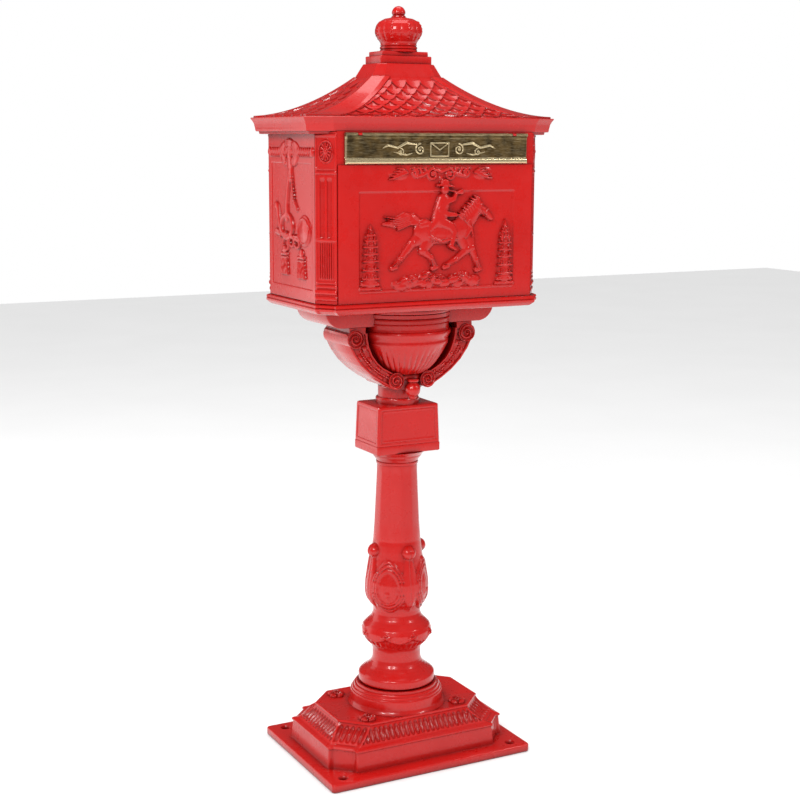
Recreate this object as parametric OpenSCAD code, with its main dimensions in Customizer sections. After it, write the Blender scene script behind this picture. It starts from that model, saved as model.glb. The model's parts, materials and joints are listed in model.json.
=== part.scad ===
// Pedestal mailbox of painted cast aluminium: a footed column that carries a letter box
// with a pagoda roof, a brass letter flap in front and a locked door behind.
// Millimetres, +Z up. The origin is on the ground, on the column's axis. The letter flap
// faces -Y and the door faces +Y.

/* [Base] */
// Width of the base plate
plate_w = 307; // [290:1:330]
// Depth of the base plate
plate_d = 229; // [215:1:250]
// Thickness of the base plate
plate_t = 11.5; // [8:0.5:12]
// Distance between anchor holes across the width
anchor_w = 261; // [250:1:270]
// Distance between anchor holes across the depth
anchor_d = 194; // [188:1:200]
// Diameter of each anchor hole
anchor_hole = 11; // [9:0.5:13]
// Height of the plinth's deck above the ground
deck_z = 67; // [64:1:70]
// Diameter of the socket drum that carries the column
drum_dia = 130; // [124:1:134]

/* [Column] */
// Diameter of the column's foot disc
foot_dia = 107.6; // [104:0.1:112]
// Diameter of the shaft where it leaves the leaf vase
shaft_low_dia = 65.6; // [62:0.1:70]
// Diameter of the shaft under its cap
shaft_top_dia = 55.6; // [54:0.1:60]
// Height of the underside of the column's cap plate
cap_z = 431; // [425:1:436]

/* [Head] */
// How far the letter box sits forward of the column's axis
head_forward = 12; // [8:1:14]
// Width of the front panel between its corner posts
front_w = 284; // [276:1:290]
// Depth of the side panels between their corner posts
side_d = 145; // [140:1:152]
// Width that each corner post adds past the front panel
post_w = 18.5; // [16:0.5:20]
// Depth that each corner post adds past the side panel
post_d = 24.5; // [22:0.5:26]
// Height of the letter box floor above the ground
floor_z = 647.5; // [646:0.5:650]
// Height of the eave above the ground
eave_z = 862; // [860:1:866]
// Thickness of the cast walls
wall = 4; // [3.5:0.5:5]

/* [Flap and door] */
// Width of the letter flap
flap_w = 264; // [250:1:268]
// Height of the lower edge of the letter flap
flap_low_z = 821.5; // [818:0.5:826]
// Width of the letter slot behind the flap
slot_w = 236; // [225:1:240]
// Height of the letter slot
slot_h = 24; // [20:1:26]
// Width of the door
door_w = 236; // [220:1:240]
// Height of the door
door_h = 170; // [160:1:176]

/* [Roof] */
// Width over the eave
eave_w = 364; // [356:1:370]
// Depth over the eave
eave_d = 200; // [198:1:210]
// Overall height of the mailbox
total_h = 1025; // [1025:1:1030]

/* [Hidden] */

red = "#b81d18";
brass = "#6e5a2c";
steel = "#9a9a9a";

gap = 0.3;              // between pieces that move past each other
hy0 = -head_forward;    // centre of the letter box along Y
fx = front_w / 2;
sx = fx + post_w;
sy = side_d / 2;
fy = sy + post_d;
front_y = hy0 - fy;     // outer face of the front panel
back_y = hy0 + fy;      // outer face of the back frame

rod_r = 6;              // threaded tie rod, M12
rod_hole_r = 6.5;

// Column profile
column_z = 97;          // top of the socket drum
neck_r = 33.8;
bore_r = 24;
cap_t = 12;
neck_z = cap_z + cap_t; // joint between the column's cap and the neck block
neck_top_z = 496;

// Head heights
bowl_z = 520;
saddle_z = 608;
saddle_floor_z = 625;
tray_z = 634;

// Door
door_low_z = floor_z + 18;
hinge_x = -(door_w / 2 + 2);
hinge_y = back_y + 3.4;
pin_r = 1.5;
knuckle_r = 3.2;
running = 0.05;         // radial clearance of a running fit
lock_x = 86;
lock_z = door_low_z + door_h / 2;

// Flap
flap_t = 4.6;
flap_back_y = front_y - 0.4;
flap_axis_y = flap_back_y - flap_t / 2;
flap_axis_z = eave_z - 3.7;
flap_rod_r = 0.9;
eye_x = 112;
eye_w = 5;

// Roof
fascia_h = 18;
roof_top_z = 931;
finial_z = 950;

// ---------------------------------------------------------------- shared shapes

module rounded_slab(w, d, h, r) {
    linear_extrude(h) {
        square([w - 2 * r, d], center = true);
        square([w, d - 2 * r], center = true);
        for (x = [-1, 1], y = [-1, 1])
            translate([x * (w / 2 - r), y * (d / 2 - r)]) circle(r = r, $fn = 32);
    }
}

// Rectangle with cut corners: half sizes hx, hy and cuts cx, cy
function cut_rect(hx, hy, cx, cy) = [
    [hx - cx, -hy], [hx, cy - hy], [hx, hy - cy], [hx - cx, hy],
    [cx - hx, hy], [-hx, hy - cy], [-hx, cy - hy], [cx - hx, -hy]
];

// Solid through a stack of cut rectangles, each given as [z, hx, hy, cx, cy, y centre]
module loft(levels) {
    n = 8;
    m = len(levels);
    points = [for (v = levels, p = cut_rect(v[1], v[2], v[3], v[4])) [p[0], p[1] + v[5], v[0]]];
    sides = [for (k = [0:m - 2], i = [0:n - 1])
        [k * n + i, (k + 1) * n + i, (k + 1) * n + (i + 1) % n, k * n + (i + 1) % n]];
    bottom = [for (i = [0:n - 1]) i];
    top = [for (i = [n - 1:-1:0]) (m - 1) * n + i];
    polyhedron(points = points, faces = concat([bottom, top], sides), convexity = 6);
}

module oval(x, y, rx, ry) {
    translate([x, y]) polygon([for (a = [0:20:340]) [rx * cos(a), ry * sin(a)]]);
}

// Flat bar with rounded ends from p to q
module bar(p, q, w) {
    d = q - p;
    n = norm(d);
    translate(p) rotate(atan2(d[1], d[0])) polygon(concat(
        [for (a = [90:30:270]) w / 2 * [cos(a), sin(a)]],
        [for (a = [-90:30:90]) [n, 0] + w / 2 * [cos(a), sin(a)]]
    ));
}

// Chain of flat bars through a list of points
module bar_chain(points, w) {
    for (i = [0:len(points) - 2]) bar(points[i], points[i + 1], w);
}

// Flat shape drawn in X and Z, standing proud of a wall that faces -Y
module on_front(y, t) {
    translate([0, y, 0]) rotate([90, 0, 0]) linear_extrude(t) children();
}

// Flat shape drawn in Y and Z, standing proud of a wall that faces -X
module on_left(x, t) {
    translate([x, 0, 0]) rotate([90, 0, -90]) linear_extrude(t) mirror([1, 0]) children();
}

module cross_cylinder(x0, x1, y, z, r) {
    translate([x0, y, z]) rotate([0, 90, 0]) cylinder(h = x1 - x0, r = r, $fn = 32);
}

// ---------------------------------------------------------------- base and column

module base_plinth() {
    color(red) difference() {
        union() {
            rounded_slab(plate_w, plate_d, plate_t, 5);
            translate([0, 0, plate_t]) linear_extrude(29.5) polygon(cut_rect(136, 91, 30, 30));
            loft([
                [41, 133, 88, 30, 30, 0], [46, 127, 83, 31, 31, 0], [54, 117, 76, 32, 32, 0],
                [62, 109, 70, 33, 33, 0], [deck_z, 107, 68, 33, 33, 0]
            ]);
            translate([0, 0, deck_z - 1]) rotate_extrude($fn = 96) polygon([
                [0, 0], [drum_dia / 2 + 2, 0], [drum_dia / 2 + 2, 3], [drum_dia / 2, 5],
                [drum_dia / 2, 24], [60, 26], [60, 28.5], [56, 29], [56, column_z - deck_z + 1],
                [0, column_z - deck_z + 1]
            ]);
        }
        translate([0, 0, -1]) linear_extrude(38) polygon(cut_rect(131, 86, 28, 28));
        loft([[36, 131, 86, 28, 28, 0], [48, 118, 75, 30, 30, 0], [deck_z - 6, 102, 63, 31, 31, 0]]);
        translate([0, 0, deck_z - 8]) cylinder(h = column_z - deck_z + 1, r = 50, $fn = 64);
        cylinder(h = column_z + 1, r = rod_hole_r, $fn = 48);
        for (x = [-1, 1], y = [-1, 1]) translate([x * anchor_w / 2, y * anchor_d / 2, -1])
            cylinder(h = plate_t + 2, d = anchor_hole, $fn = 48);
    }
}

module base_rosettes() {
    color(red) for (x = [-71, 71], y = [-50, 50]) translate([x, y, deck_z]) {
        cylinder(h = 3, r = 9, $fn = 32);
        for (a = [0:72:288]) rotate(a) translate([7.5, 0, 0]) cylinder(h = 2.5, r = 4.2, $fn = 24);
        translate([0, 0, 3]) cylinder(h = 2, r1 = 5, r2 = 3, $fn = 24);
    }
}

// Outer radius of the ring bulge and of the leaf vase, as points up the column
function ring_bulge() = [for (a = [-75:15:75]) [neck_r + 14 * cos(a), 171 + 21 * sin(a)]];
function leaf_vase() = [for (a = [-70:17.5:70]) [neck_r + 8.6 * cos(a), 236 + 32 * sin(a)]];

module column() {
    low_r = shaft_low_dia / 2;
    top_r = shaft_top_dia / 2;
    color(red) difference() {
        union() {
            rotate_extrude($fn = 96) polygon(concat(
                [[0, column_z], [51, column_z], [51, column_z + 2], [foot_dia / 2, column_z + 3],
                 [foot_dia / 2, 113], [52, 118], [47, 122], [40, 125], [36, 129],
                 [neck_r, 136], [neck_r, 148]],
                ring_bulge(),
                [[neck_r, 194], [33, 204]],
                leaf_vase(),
                [[37, 268], [37.5, 276], [37, 281], [39, 287], [39, 291], [36, 297], [low_r, 302],
                 [top_r, 412], [30.5, 415], [30.5, 423], [31, 424], [34, 426], [35.4, cap_z],
                 [0, cap_z]]
            ));
            translate([-48.2, -35.6, cap_z]) cube([96.4, 71.2, cap_t]);
        }
        translate([0, 0, column_z - 1]) cylinder(h = cap_z - column_z - 6, r = bore_r, $fn = 64);
        cylinder(h = neck_z + 1, r = rod_hole_r, $fn = 48);
    }
}

module neck_block() {
    color(red) difference() {
        union() {
            loft([[neck_z, 47.8, 35.3, 1, 1, 0], [neck_top_z, 46, 34, 1, 1, 0]]);
            translate([0, 0, neck_top_z]) rotate_extrude($fn = 64) polygon([
                [0, -1], [30, -1], [30, 8], [26.8, 10], [26.8, bowl_z - neck_top_z],
                [0, bowl_z - neck_top_z]
            ]);
        }
        translate([-31, -19, neck_z - 1]) cube([62, 38, neck_top_z - neck_z - 5]);
        cylinder(h = bowl_z + 1, r = rod_hole_r, $fn = 48);
        for (y = [-1, 1]) translate([-38, y * 35.2 - 0.8, neck_z + 7]) cube([76, 1.6, 38]);
        for (x = [-1, 1]) translate([x * 47.6 - 0.8, -26, neck_z + 7]) cube([1.6, 52, 38]);
    }
}

rod_low_z = deck_z + 5;
rod_high_z = tray_z + 5;

module tie_rod() {
    color(steel) translate([0, 0, rod_low_z]) cylinder(h = rod_high_z - rod_low_z, r = rod_r, $fn = 48);
}

// The lower nut bears on the drum's underside and the upper nut on the saddle's floor
washer_low_z = column_z - 7;
washer_high_z = saddle_floor_z;
washer_t = 2.5;

module tie_rod_washers() {
    color(steel) for (z = [washer_low_z - washer_t, washer_high_z]) translate([0, 0, z]) difference() {
        cylinder(h = washer_t, r = 12, $fn = 48);
        translate([0, 0, -1]) cylinder(h = washer_t + 2, r = rod_hole_r, $fn = 48);
    }
}

module tie_rod_nuts() {
    nut_h = 10;
    color(steel) for (z = [washer_low_z - washer_t - nut_h, washer_high_z + washer_t])
        translate([0, 0, z]) difference() {
            cylinder(h = nut_h, r = 10.9, $fn = 6);
            translate([0, 0, -1]) cylinder(h = nut_h + 2, r = rod_r + running, $fn = 48);
        }
}

// ---------------------------------------------------------------- bowl, brackets, saddle, tray

// Outer profile of the bowl, grown outwards by g: stem, flaring body, then three rim rings
function bowl_side(g) = concat(
    [[27.5 + g, bowl_z - g], [27.5 + g, 533], [24 + g, 538]],
    [for (t = [0.25:0.125:1]) [24 + g + 39.5 * pow(t, 1.1), 538 + 45 * t * t]],
    [[64.5 + g, 588], [65.5 + g, 591], [64 + g, 594], [62.5 + g, 597], [63 + g, 600],
     [65 + g, 603], [63.5 + g, 606], [66 + g, 609], [67 + g, 613], [66 + g, 619 + g]]
);

module bowl() {
    color(red) translate([0, hy0, 0]) difference() {
        rotate_extrude($fn = 96) polygon(concat([[0, bowl_z]], bowl_side(0), [[0, 619]]));
        translate([0, 0, 549]) cylinder(h = 42.01, r1 = 20, r2 = 50, $fn = 64);
        translate([0, 0, 591]) cylinder(h = 29, r = 50, $fn = 64);
        translate([0, -hy0, bowl_z - 1]) cylinder(h = 40, r = rod_hole_r, $fn = 48);
    }
}

bracket_y = -6;
bracket_d = 72;

// Crescent band between two arcs, with a scroll at each end, drawn in X and Z
module bracket_outline() {
    outer = [[24, 521.5], [30, 524], [46, 533], [62, 544], [76, 557], [87, 572], [95, 588], [97, 600]];
    inner = [[66.5, 600], [66, 592], [63.5, 581], [59, 570], [52, 560], [43, 552], [32, 546], [22, 541]];
    polygon(concat(outer, inner));
    oval(84.5, 593, 12.4, 12.4);
    oval(24, 533, 11.4, 11.4);
    translate([69, 590]) square([24, saddle_z - 590]);
}

// Cut to fit round the bowl and the neck
module scroll_bracket() {
    difference() {
        translate([0, bracket_y + bracket_d / 2, 0]) rotate([90, 0, 0])
            linear_extrude(bracket_d) bracket_outline();
        translate([0, hy0, 0]) rotate_extrude($fn = 96) polygon([
            [0, bowl_z - 1], [27.8, bowl_z - 1], [27.8, 538], [34, 541], [47, 551], [56, 562],
            [62, 573], [67.3, 583], [67.3, 610], [0, 610]
        ]);
    }
}

module right_scroll_bracket() {
    color(red) scroll_bracket();
}

module left_scroll_bracket() {
    color(red) mirror([1, 0, 0]) scroll_bracket();
}

// Ball drops in front of and behind the bowl's stem, between the lower scrolls
module drop_finials() {
    color(red) difference() {
        for (y = [bracket_y - 39, bracket_y + 39]) translate([0, y, 521.6]) {
            sphere(r = 10.2, $fn = 48);
            translate([0, 0, 6]) cylinder(h = 12, r1 = 6.5, r2 = 9.5, $fn = 32);
        }
        translate([0, hy0, 0]) rotate_extrude($fn = 96)
            polygon(concat([[0, bowl_z - 0.2]], bowl_side(0), [[0, 619.2]]));
        translate([0, 0, neck_top_z]) cylinder(h = bowl_z - neck_top_z, r = 26.8, $fn = 64);
    }
}

saddle_top_w = 254;
saddle_low_w = 206;
saddle_front_y = -42;
saddle_depth = 95;

module saddle() {
    rise = tray_z - saddle_z;
    run = (saddle_top_w - saddle_low_w) / 2;
    round_end = [for (a = [0:15:90]) [saddle_low_w / 2 + run * sin(a), tray_z - 3 - (rise - 3) * cos(a)]];
    color(red) difference() {
        union() {
            translate([0, saddle_front_y + saddle_depth, 0]) rotate([90, 0, 0]) linear_extrude(saddle_depth)
                polygon(concat(
                    round_end, [[saddle_top_w / 2, tray_z], [-saddle_top_w / 2, tray_z]],
                    [for (i = [len(round_end) - 1:-1:0]) [-round_end[i][0], round_end[i][1]]]
                ));
            // ringed collar that carries the bowl's outline up to the tray
            translate([0, hy0, 619]) cylinder(h = tray_z - 619, r = 64, $fn = 96);
            translate([0, hy0, 626]) cylinder(h = tray_z - 626, r = 68, $fn = 96);
        }
        translate([0, hy0, saddle_floor_z]) cylinder(h = rise, r = 50, $fn = 64);
        translate([0, hy0, saddle_z - 1]) cylinder(h = 12, r = 67.2, $fn = 96);
        cylinder(h = tray_z, r = rod_hole_r, $fn = 48);
    }
}

// Tray outline: proud front, back and side lengths, with the corners set back to the posts
tray_lip = 7;

module tray_outline(grow) {
    polygon(cut_rect(sx + 2 + grow, fy + 2 + grow, post_w + 1, post_d + 1));
    square([2 * (fx - 10) + 2 * grow, 2 * (fy + tray_lip) + 2 * grow], center = true);
    square([2 * (sx + tray_lip) + 2 * grow, 2 * (sy - 8) + 2 * grow], center = true);
}

module floor_tray() {
    color(red) translate([0, hy0, 0]) difference() {
        translate([0, 0, tray_z]) linear_extrude(floor_z - tray_z) tray_outline(0);
        difference() {
            translate([0, 0, tray_z - 1]) linear_extrude(floor_z - tray_z - 3) tray_outline(-6);
            difference() {
                translate([-132, -68, tray_z - 2]) cube([264, 136, 20]);
                translate([0, 0, tray_z - 3]) cylinder(h = 22, r = 50, $fn = 64);
            }
            for (p = post_screws) translate([p[0], p[1], tray_z - 2]) cylinder(h = 20, r = 7, $fn = 32);
        }
        for (p = post_screws) {
            translate([p[0], p[1], tray_z - 1]) cylinder(h = 20, r = 2.1, $fn = 32);
            translate([p[0], p[1], tray_z - 1]) cylinder(h = 4, r = 4.2, $fn = 32);
        }
    }
}

module tray_screws() {
    color(steel) for (p = post_screws) translate([p[0], p[1] + hy0, 0]) {
        translate([0, 0, tray_z]) cylinder(h = 3, r = 4, $fn = 32);
        translate([0, 0, tray_z + 1]) cylinder(h = 26, r = 2, $fn = 32);
    }
}

// ---------------------------------------------------------------- letter box walls

// Screw places in the corner posts, relative to the letter box's centre
post_screws = [for (x = [-1, 1], y = [-1, 1]) [x * (sx - 14), y * (fy - 16)]];

module corner_post(mx, my) {
    color(red) translate([0, hy0, 0]) mirror([mx, 0, 0]) mirror([0, my, 0]) difference() {
        translate([0, 0, floor_z]) linear_extrude(eave_z - floor_z) union() {
            polygon([[fx + 0.1, -fy], [sx, -sy - 0.1], [sx - wall - 1, -sy - 0.1], [fx + 0.1, 7 - fy]]);
            translate([sx - 14, 16 - fy]) circle(r = 5.5, $fn = 32);
        }
        translate([sx - 14, 16 - fy, floor_z - 1]) cylinder(h = 25, r = 2.1, $fn = 32);
        translate([sx - 14, 16 - fy, eave_z - 24]) cylinder(h = 25, r = 2.1, $fn = 32);
    }
}

module post_front_left() corner_post(1, 0);
module post_front_right() corner_post(0, 0);
module post_back_left() corner_post(1, 1);
module post_back_right() corner_post(0, 1);

module side_panel(s) {
    color(red) translate([s * (sx - wall / 2) - wall / 2, hy0 - sy, floor_z])
        cube([wall, side_d, eave_z - floor_z]);
}

module left_side_panel() side_panel(-1);
module right_side_panel() side_panel(1);

module front_panel() {
    color(red) difference() {
        union() {
            translate([-fx, front_y, floor_z]) cube([front_w, wall, eave_z - floor_z]);
            for (s = [-1, 1]) {
                translate([s * eye_x - eye_w / 2, flap_axis_y, flap_axis_z - 1.9])
                    cube([eye_w, front_y - flap_axis_y + 1, 3.8]);
                cross_cylinder(s * eye_x - eye_w / 2, s * eye_x + eye_w / 2, flap_axis_y, flap_axis_z, 1.9);
            }
        }
        translate([-slot_w / 2, front_y - 1, slot_low_z]) cube([slot_w, wall + 2, slot_h]);
        cross_cylinder(-fx, fx, flap_axis_y, flap_axis_z, flap_rod_r + running);
    }
}

slot_low_z = flap_low_z + 6;

// Galloping horse and rider with a horn, over rocks
module rider_relief() {
    color(red) on_front(front_y, 3.5) {
        oval(10, 737, 38, 12);
        bar_chain([[38, 741], [50, 757], [60, 768]], 13);
        bar([60, 768], [76, 760], 8);
        bar_chain([[-26, 740], [-44, 748], [-60, 742], [-76, 744]], 6);
        bar_chain([[-22, 730], [-34, 712], [-50, 705], [-63, 693]], 8);
        bar_chain([[-16, 728], [-18, 712], [-10, 703], [-6, 691]], 8);
        bar_chain([[38, 732], [30, 714], [14, 704]], 7);
        bar_chain([[42, 732], [50, 710], [44, 694], [58, 681]], 7);
        bar_chain([[-2, 745], [2, 765], [4, 780]], 15);
        bar_chain([[4, 748], [18, 738], [14, 722]], 7);
        bar([8, 778], [20, 768], 6);
        oval(7, 792, 6.5, 7.5);
        bar([-4, 797], [18, 797], 4);
        bar([16, 788], [28, 781], 4);
        for (i = [0:6]) oval(-58 + 19 * i, 668 + 6 * sin(80 * i), 13, 9);
    }
}

// Stepped round tower: stacked blocks under a pointed cap, in X and Z
module tower(x) {
    translate([x, 0]) {
        translate([-14, 665]) square([28, 13]);
        translate([-11, 677.9]) square([22, 14]);
        translate([-13, 691.9]) square([26, 5]);
        translate([-9, 696.8]) square([18, 18]);
        translate([-11, 714.7]) square([22, 4]);
        polygon([[-7, 718.6], [7, 718.6], [5, 730], [0, 744], [-5, 730]]);
    }
}

module tower_reliefs() {
    color(red) on_front(front_y, 4) {
        tower(-94);
        tower(101);
    }
}

module crest_relief() {
    color(red) on_front(front_y, 2.5) {
        oval(0, 809, 12, 6.5);
        for (s = [-1, 1]) {
            bar_chain([[s * 10, 812], [s * 30, 805], [s * 50, 812], [s * 70, 808]], 5);
            oval(s * 30, 811, 6, 5);
            oval(s * 68, 811, 5, 5);
        }
    }
}

// Hunting horn and satchel hung by a ribbon from a rod, in Y and Z
module horn_outline() {
    bar([-66, 834], [60, 834], 9);
    oval(-13, 830, 26, 16);
    bar_chain([[-14, 820], [-18, 790], [-20, 762]], 11);
    oval(-49, 739, 22, 18);
    difference() {
        oval(17, 741, 27, 25);
        oval(17, 741, 15, 13);
    }
    bar([11, 716], [9, 694], 9);
    bar([-41, 722], [-42, 692], 9);
}

module left_horn_relief() {
    color(red) translate([0, hy0, 0]) on_left(-sx, 4) horn_outline();
}

module right_horn_relief() {
    color(red) mirror([1, 0, 0]) left_horn_relief();
}

// ---------------------------------------------------------------- back frame, door and lock

leaf_w = 16;
leaf_h = 36;
hinge_zs = [door_low_z + 18, door_low_z + door_h - 18 - leaf_h];

module back_frame() {
    color(red) difference() {
        translate([-fx, back_y - wall, floor_z]) cube([front_w, wall, eave_z - floor_z]);
        translate([-door_w / 2 - 1, back_y - wall - 1, door_low_z - 1])
            cube([door_w + 2, wall + 2, door_h + 2]);
    }
}

module rear_door() {
    color(red) difference() {
        union() {
            translate([-door_w / 2, back_y - wall, door_low_z]) cube([door_w, wall, door_h]);
            // raised border round the door's face
            difference() {
                translate([-door_w / 2 + 20, back_y - 1, door_low_z + 8])
                    cube([door_w - 28, 3, door_h - 16]);
                translate([-door_w / 2 + 28, back_y - 2, door_low_z + 16])
                    cube([door_w - 44, 5, door_h - 32]);
            }
        }
        lock_turned(back_y - wall - 1, wall + 4, 9.1);
    }
}

// Soft strip on the back frame's inner face, which the door closes against
module door_gasket() {
    color("#222222") difference() {
        translate([-door_w / 2 - 6, back_y - wall - 2, door_low_z - 6])
            cube([door_w + 12, 2, door_h + 12]);
        translate([-door_w / 2 + 5, back_y - wall - 3, door_low_z + 5]) cube([door_w - 10, 4, door_h - 10]);
    }
}

// One half of a butt hinge: a leaf and its knuckles. s is -1 on the frame, +1 on the door
module hinge_leaf(s, knuckles) {
    difference() {
        union() {
            translate([s > 0 ? hinge_x : hinge_x - leaf_w, back_y, 0]) cube([leaf_w, 1.6, leaf_h]);
            for (k = knuckles) translate([hinge_x, hinge_y, k[0]])
                cylinder(h = k[1], r = knuckle_r, $fn = 48);
        }
        translate([hinge_x, hinge_y, -1]) cylinder(h = leaf_h + 2, r = pin_r + running, $fn = 48);
        other = s > 0 ? [[-0.2, 12.4], [23.8, 12.4]] : [[11.8, 12.4]];
        for (k = other) translate([hinge_x, hinge_y, k[0]])
            cylinder(h = k[1], r = knuckle_r + gap, $fn = 48);
    }
}

module hinge_leaves_fixed() {
    color(steel) for (z = hinge_zs) translate([0, 0, z]) hinge_leaf(-1, [[0, 11.8], [24.2, 11.8]]);
}

module hinge_leaves_door() {
    color(steel) for (z = hinge_zs) translate([0, 0, z]) hinge_leaf(1, [[12, 12]]);
}

module hinge_pins() {
    color(steel) for (z = hinge_zs) translate([hinge_x, hinge_y, z - 1])
        cylinder(h = leaf_h + 2, r = pin_r, $fn = 48);
}

lock_back_y = back_y - wall - 3.5;
plug_r = 6;

// Cylinder about the lock's axis, from y towards +Y
module lock_turned(y, h, r) {
    translate([lock_x, y, lock_z]) rotate([-90, 0, 0]) cylinder(h = h, r = r, $fn = 48);
}

module lock_barrel() {
    color("silver") difference() {
        union() {
            lock_turned(lock_back_y, back_y - lock_back_y, 9);
            lock_turned(back_y, 4.5, 11);
        }
        lock_turned(lock_back_y - 1, 27, plug_r + running);
    }
}

module lock_plug() {
    color("silver") difference() {
        union() {
            lock_turned(lock_back_y - 0.2, back_y + 4 - lock_back_y, plug_r);
            lock_turned(lock_back_y - 2.2, 3, 3.9);
        }
        translate([lock_x - 1, back_y - 4, lock_z - 4]) cube([2, 12, 8]);
        lock_turned(lock_back_y - 3, 8, 1.55);
    }
}

module lock_cam() {
    color(steel) translate([0, lock_back_y - 0.2, 0]) rotate([90, 0, 0]) linear_extrude(2) difference() {
        union() {
            translate([lock_x, lock_z]) circle(r = 8, $fn = 48);
            translate([lock_x - 6, lock_z]) square([12, 42]);
        }
        translate([lock_x, lock_z]) circle(r = 4, $fn = 48);
    }
}

module lock_cam_screw() {
    color(steel) {
        lock_turned(lock_back_y - 4.7, 2.5, 5.5);
        lock_turned(lock_back_y - 3, 7, 1.5);
    }
}

module lock_nut() {
    color(steel) difference() {
        translate([lock_x, back_y - wall - 3, lock_z]) rotate([-90, 0, 0]) cylinder(h = 3, r = 13, $fn = 6);
        lock_turned(back_y - wall - 5, 6, 9 + running);
    }
}

// ---------------------------------------------------------------- letter flap

module letter_flap() {
    h = flap_axis_z - flap_low_z;
    color(brass) difference() {
        union() {
            translate([-flap_w / 2, flap_back_y - flap_t, flap_low_z]) cube([flap_w, flap_t, h]);
            cross_cylinder(-flap_w / 2, flap_w / 2, flap_axis_y, flap_axis_z, flap_t / 2);
            // raised border
            difference() {
                translate([-flap_w / 2, flap_back_y - flap_t - 1.5, flap_low_z]) cube([flap_w, 2, h - 4]);
                translate([-flap_w / 2 + 4, flap_back_y - flap_t - 2, flap_low_z + 5])
                    cube([flap_w - 8, 3, h - 13]);
            }
            // letter emblem
            translate([-14, flap_back_y - flap_t - 1.2, flap_low_z + 10]) cube([28, 2, 17]);
        }
        cross_cylinder(-flap_w, flap_w, flap_axis_y, flap_axis_z, flap_rod_r + running);
        for (s = [-1, 1]) translate([s * eye_x - eye_w / 2 - gap, front_y - 10, flap_axis_z - 2.4])
            cube([eye_w + 2 * gap, 12, 10]);
    }
}

module flap_rod() {
    color(steel) cross_cylinder(-flap_w / 2 + 4, flap_w / 2 - 4, flap_axis_y, flap_axis_z, flap_rod_r);
}

// ---------------------------------------------------------------- roof and finial

roof_y = hy0 - 1;

// Concave slope from the fascia (t = 0) to the crest (t = 1)
function slope(t, grow) = [
    eave_z + fascia_h + (roof_top_z - eave_z - fascia_h) * pow(t, 1.85) + grow[2],
    (1 - t) * (eave_w / 2 - 5) + t * 53 + grow[0],
    (1 - t) * (eave_d / 2 - 5) + t * 35 + grow[1],
    (1 - t) * 32 + t * 5,
    (1 - t) * 14 + t * 5,
    (1 - t) * roof_y
];

module roof() {
    steps = 9;
    color(red) difference() {
        loft(concat(
            [[eave_z, eave_w / 2, eave_d / 2, 32, 14, roof_y]],
            [for (i = [0:steps]) slope(i / steps, [0, 0, 0])],
            [[finial_z, 42, 27, 4, 4, 0]]
        ));
        loft(concat(
            [[eave_z - 1, sx - wall - 1, fy - wall - 1, 30, 34, hy0],
             [eave_z + 6, sx - wall - 1, fy - wall - 1, 30, 34, hy0]],
            [for (i = [2:steps]) slope(i / steps, [-10, -10, -6])]
        ));
        for (p = post_screws) translate([p[0], p[1] + hy0, eave_z - 1]) cylinder(h = 10, r = 2, $fn = 32);
        cylinder(h = finial_z + 1, r = 3.1, $fn = 32);
    }
}

module roof_dowels() {
    color(steel) for (p = post_screws) translate([p[0], p[1] + hy0, eave_z - 20])
        cylinder(h = 28, r = 1.95, $fn = 32);
}

module finial() {
    crown = [for (a = [-42:14:56]) [31.8 * cos(a), 993 + (a < 0 ? 22.5 : 19.5) * sin(a)]];
    color(red) {
        translate([0, 0, finial_z]) rounded_slab(76, 46, 10, 6);
        translate([0, 0, finial_z + 9.9]) rounded_slab(68, 40, 5.2, 5);
        rotate_extrude($fn = 64) polygon(concat(
            [[0, 964], [24.7, 964], [24.7, 976]], crown,
            [[8.7, 1010], [8.7, 1013], [7.4, 1015], [7.7, 1018], [6.6, 1021], [4, total_h - 1], [0, total_h]]
        ));
        // stud that screws into the roof
        translate([0, 0, finial_z - 20]) cylinder(h = 25, r = 3, $fn = 32);
    }
}

base_plinth();
base_rosettes();
column();
neck_block();
tie_rod();
tie_rod_nuts();
tie_rod_washers();
bowl();
left_scroll_bracket();
right_scroll_bracket();
drop_finials();
saddle();
floor_tray();
tray_screws();
post_front_left();
post_front_right();
post_back_left();
post_back_right();
left_side_panel();
right_side_panel();
front_panel();
rider_relief();
tower_reliefs();
crest_relief();
left_horn_relief();
right_horn_relief();
back_frame();
rear_door();
door_gasket();
hinge_leaves_fixed();
hinge_leaves_door();
hinge_pins();
lock_barrel();
lock_plug();
lock_cam();
lock_cam_screw();
lock_nut();
letter_flap();
flap_rod();
roof();
roof_dowels();
finial();
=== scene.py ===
# %% [markdown]
# # A cast pedestal mailbox
# The real mailbox is a set of thin aluminium castings, powder coated in glossy red, with one
# brass-plated letter flap. The frame already holds every casting at its true size. Here each
# visible casting is made again with its ornament: flutes, scrolls, tiles and a rider in relief.
# Everything is in the frame's own coordinates: +Z up, the flap faces -Y.

# %% Load the frame
import json
import math

import bpy
import numpy as np
from mathutils import Euler, Matrix, Vector


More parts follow.
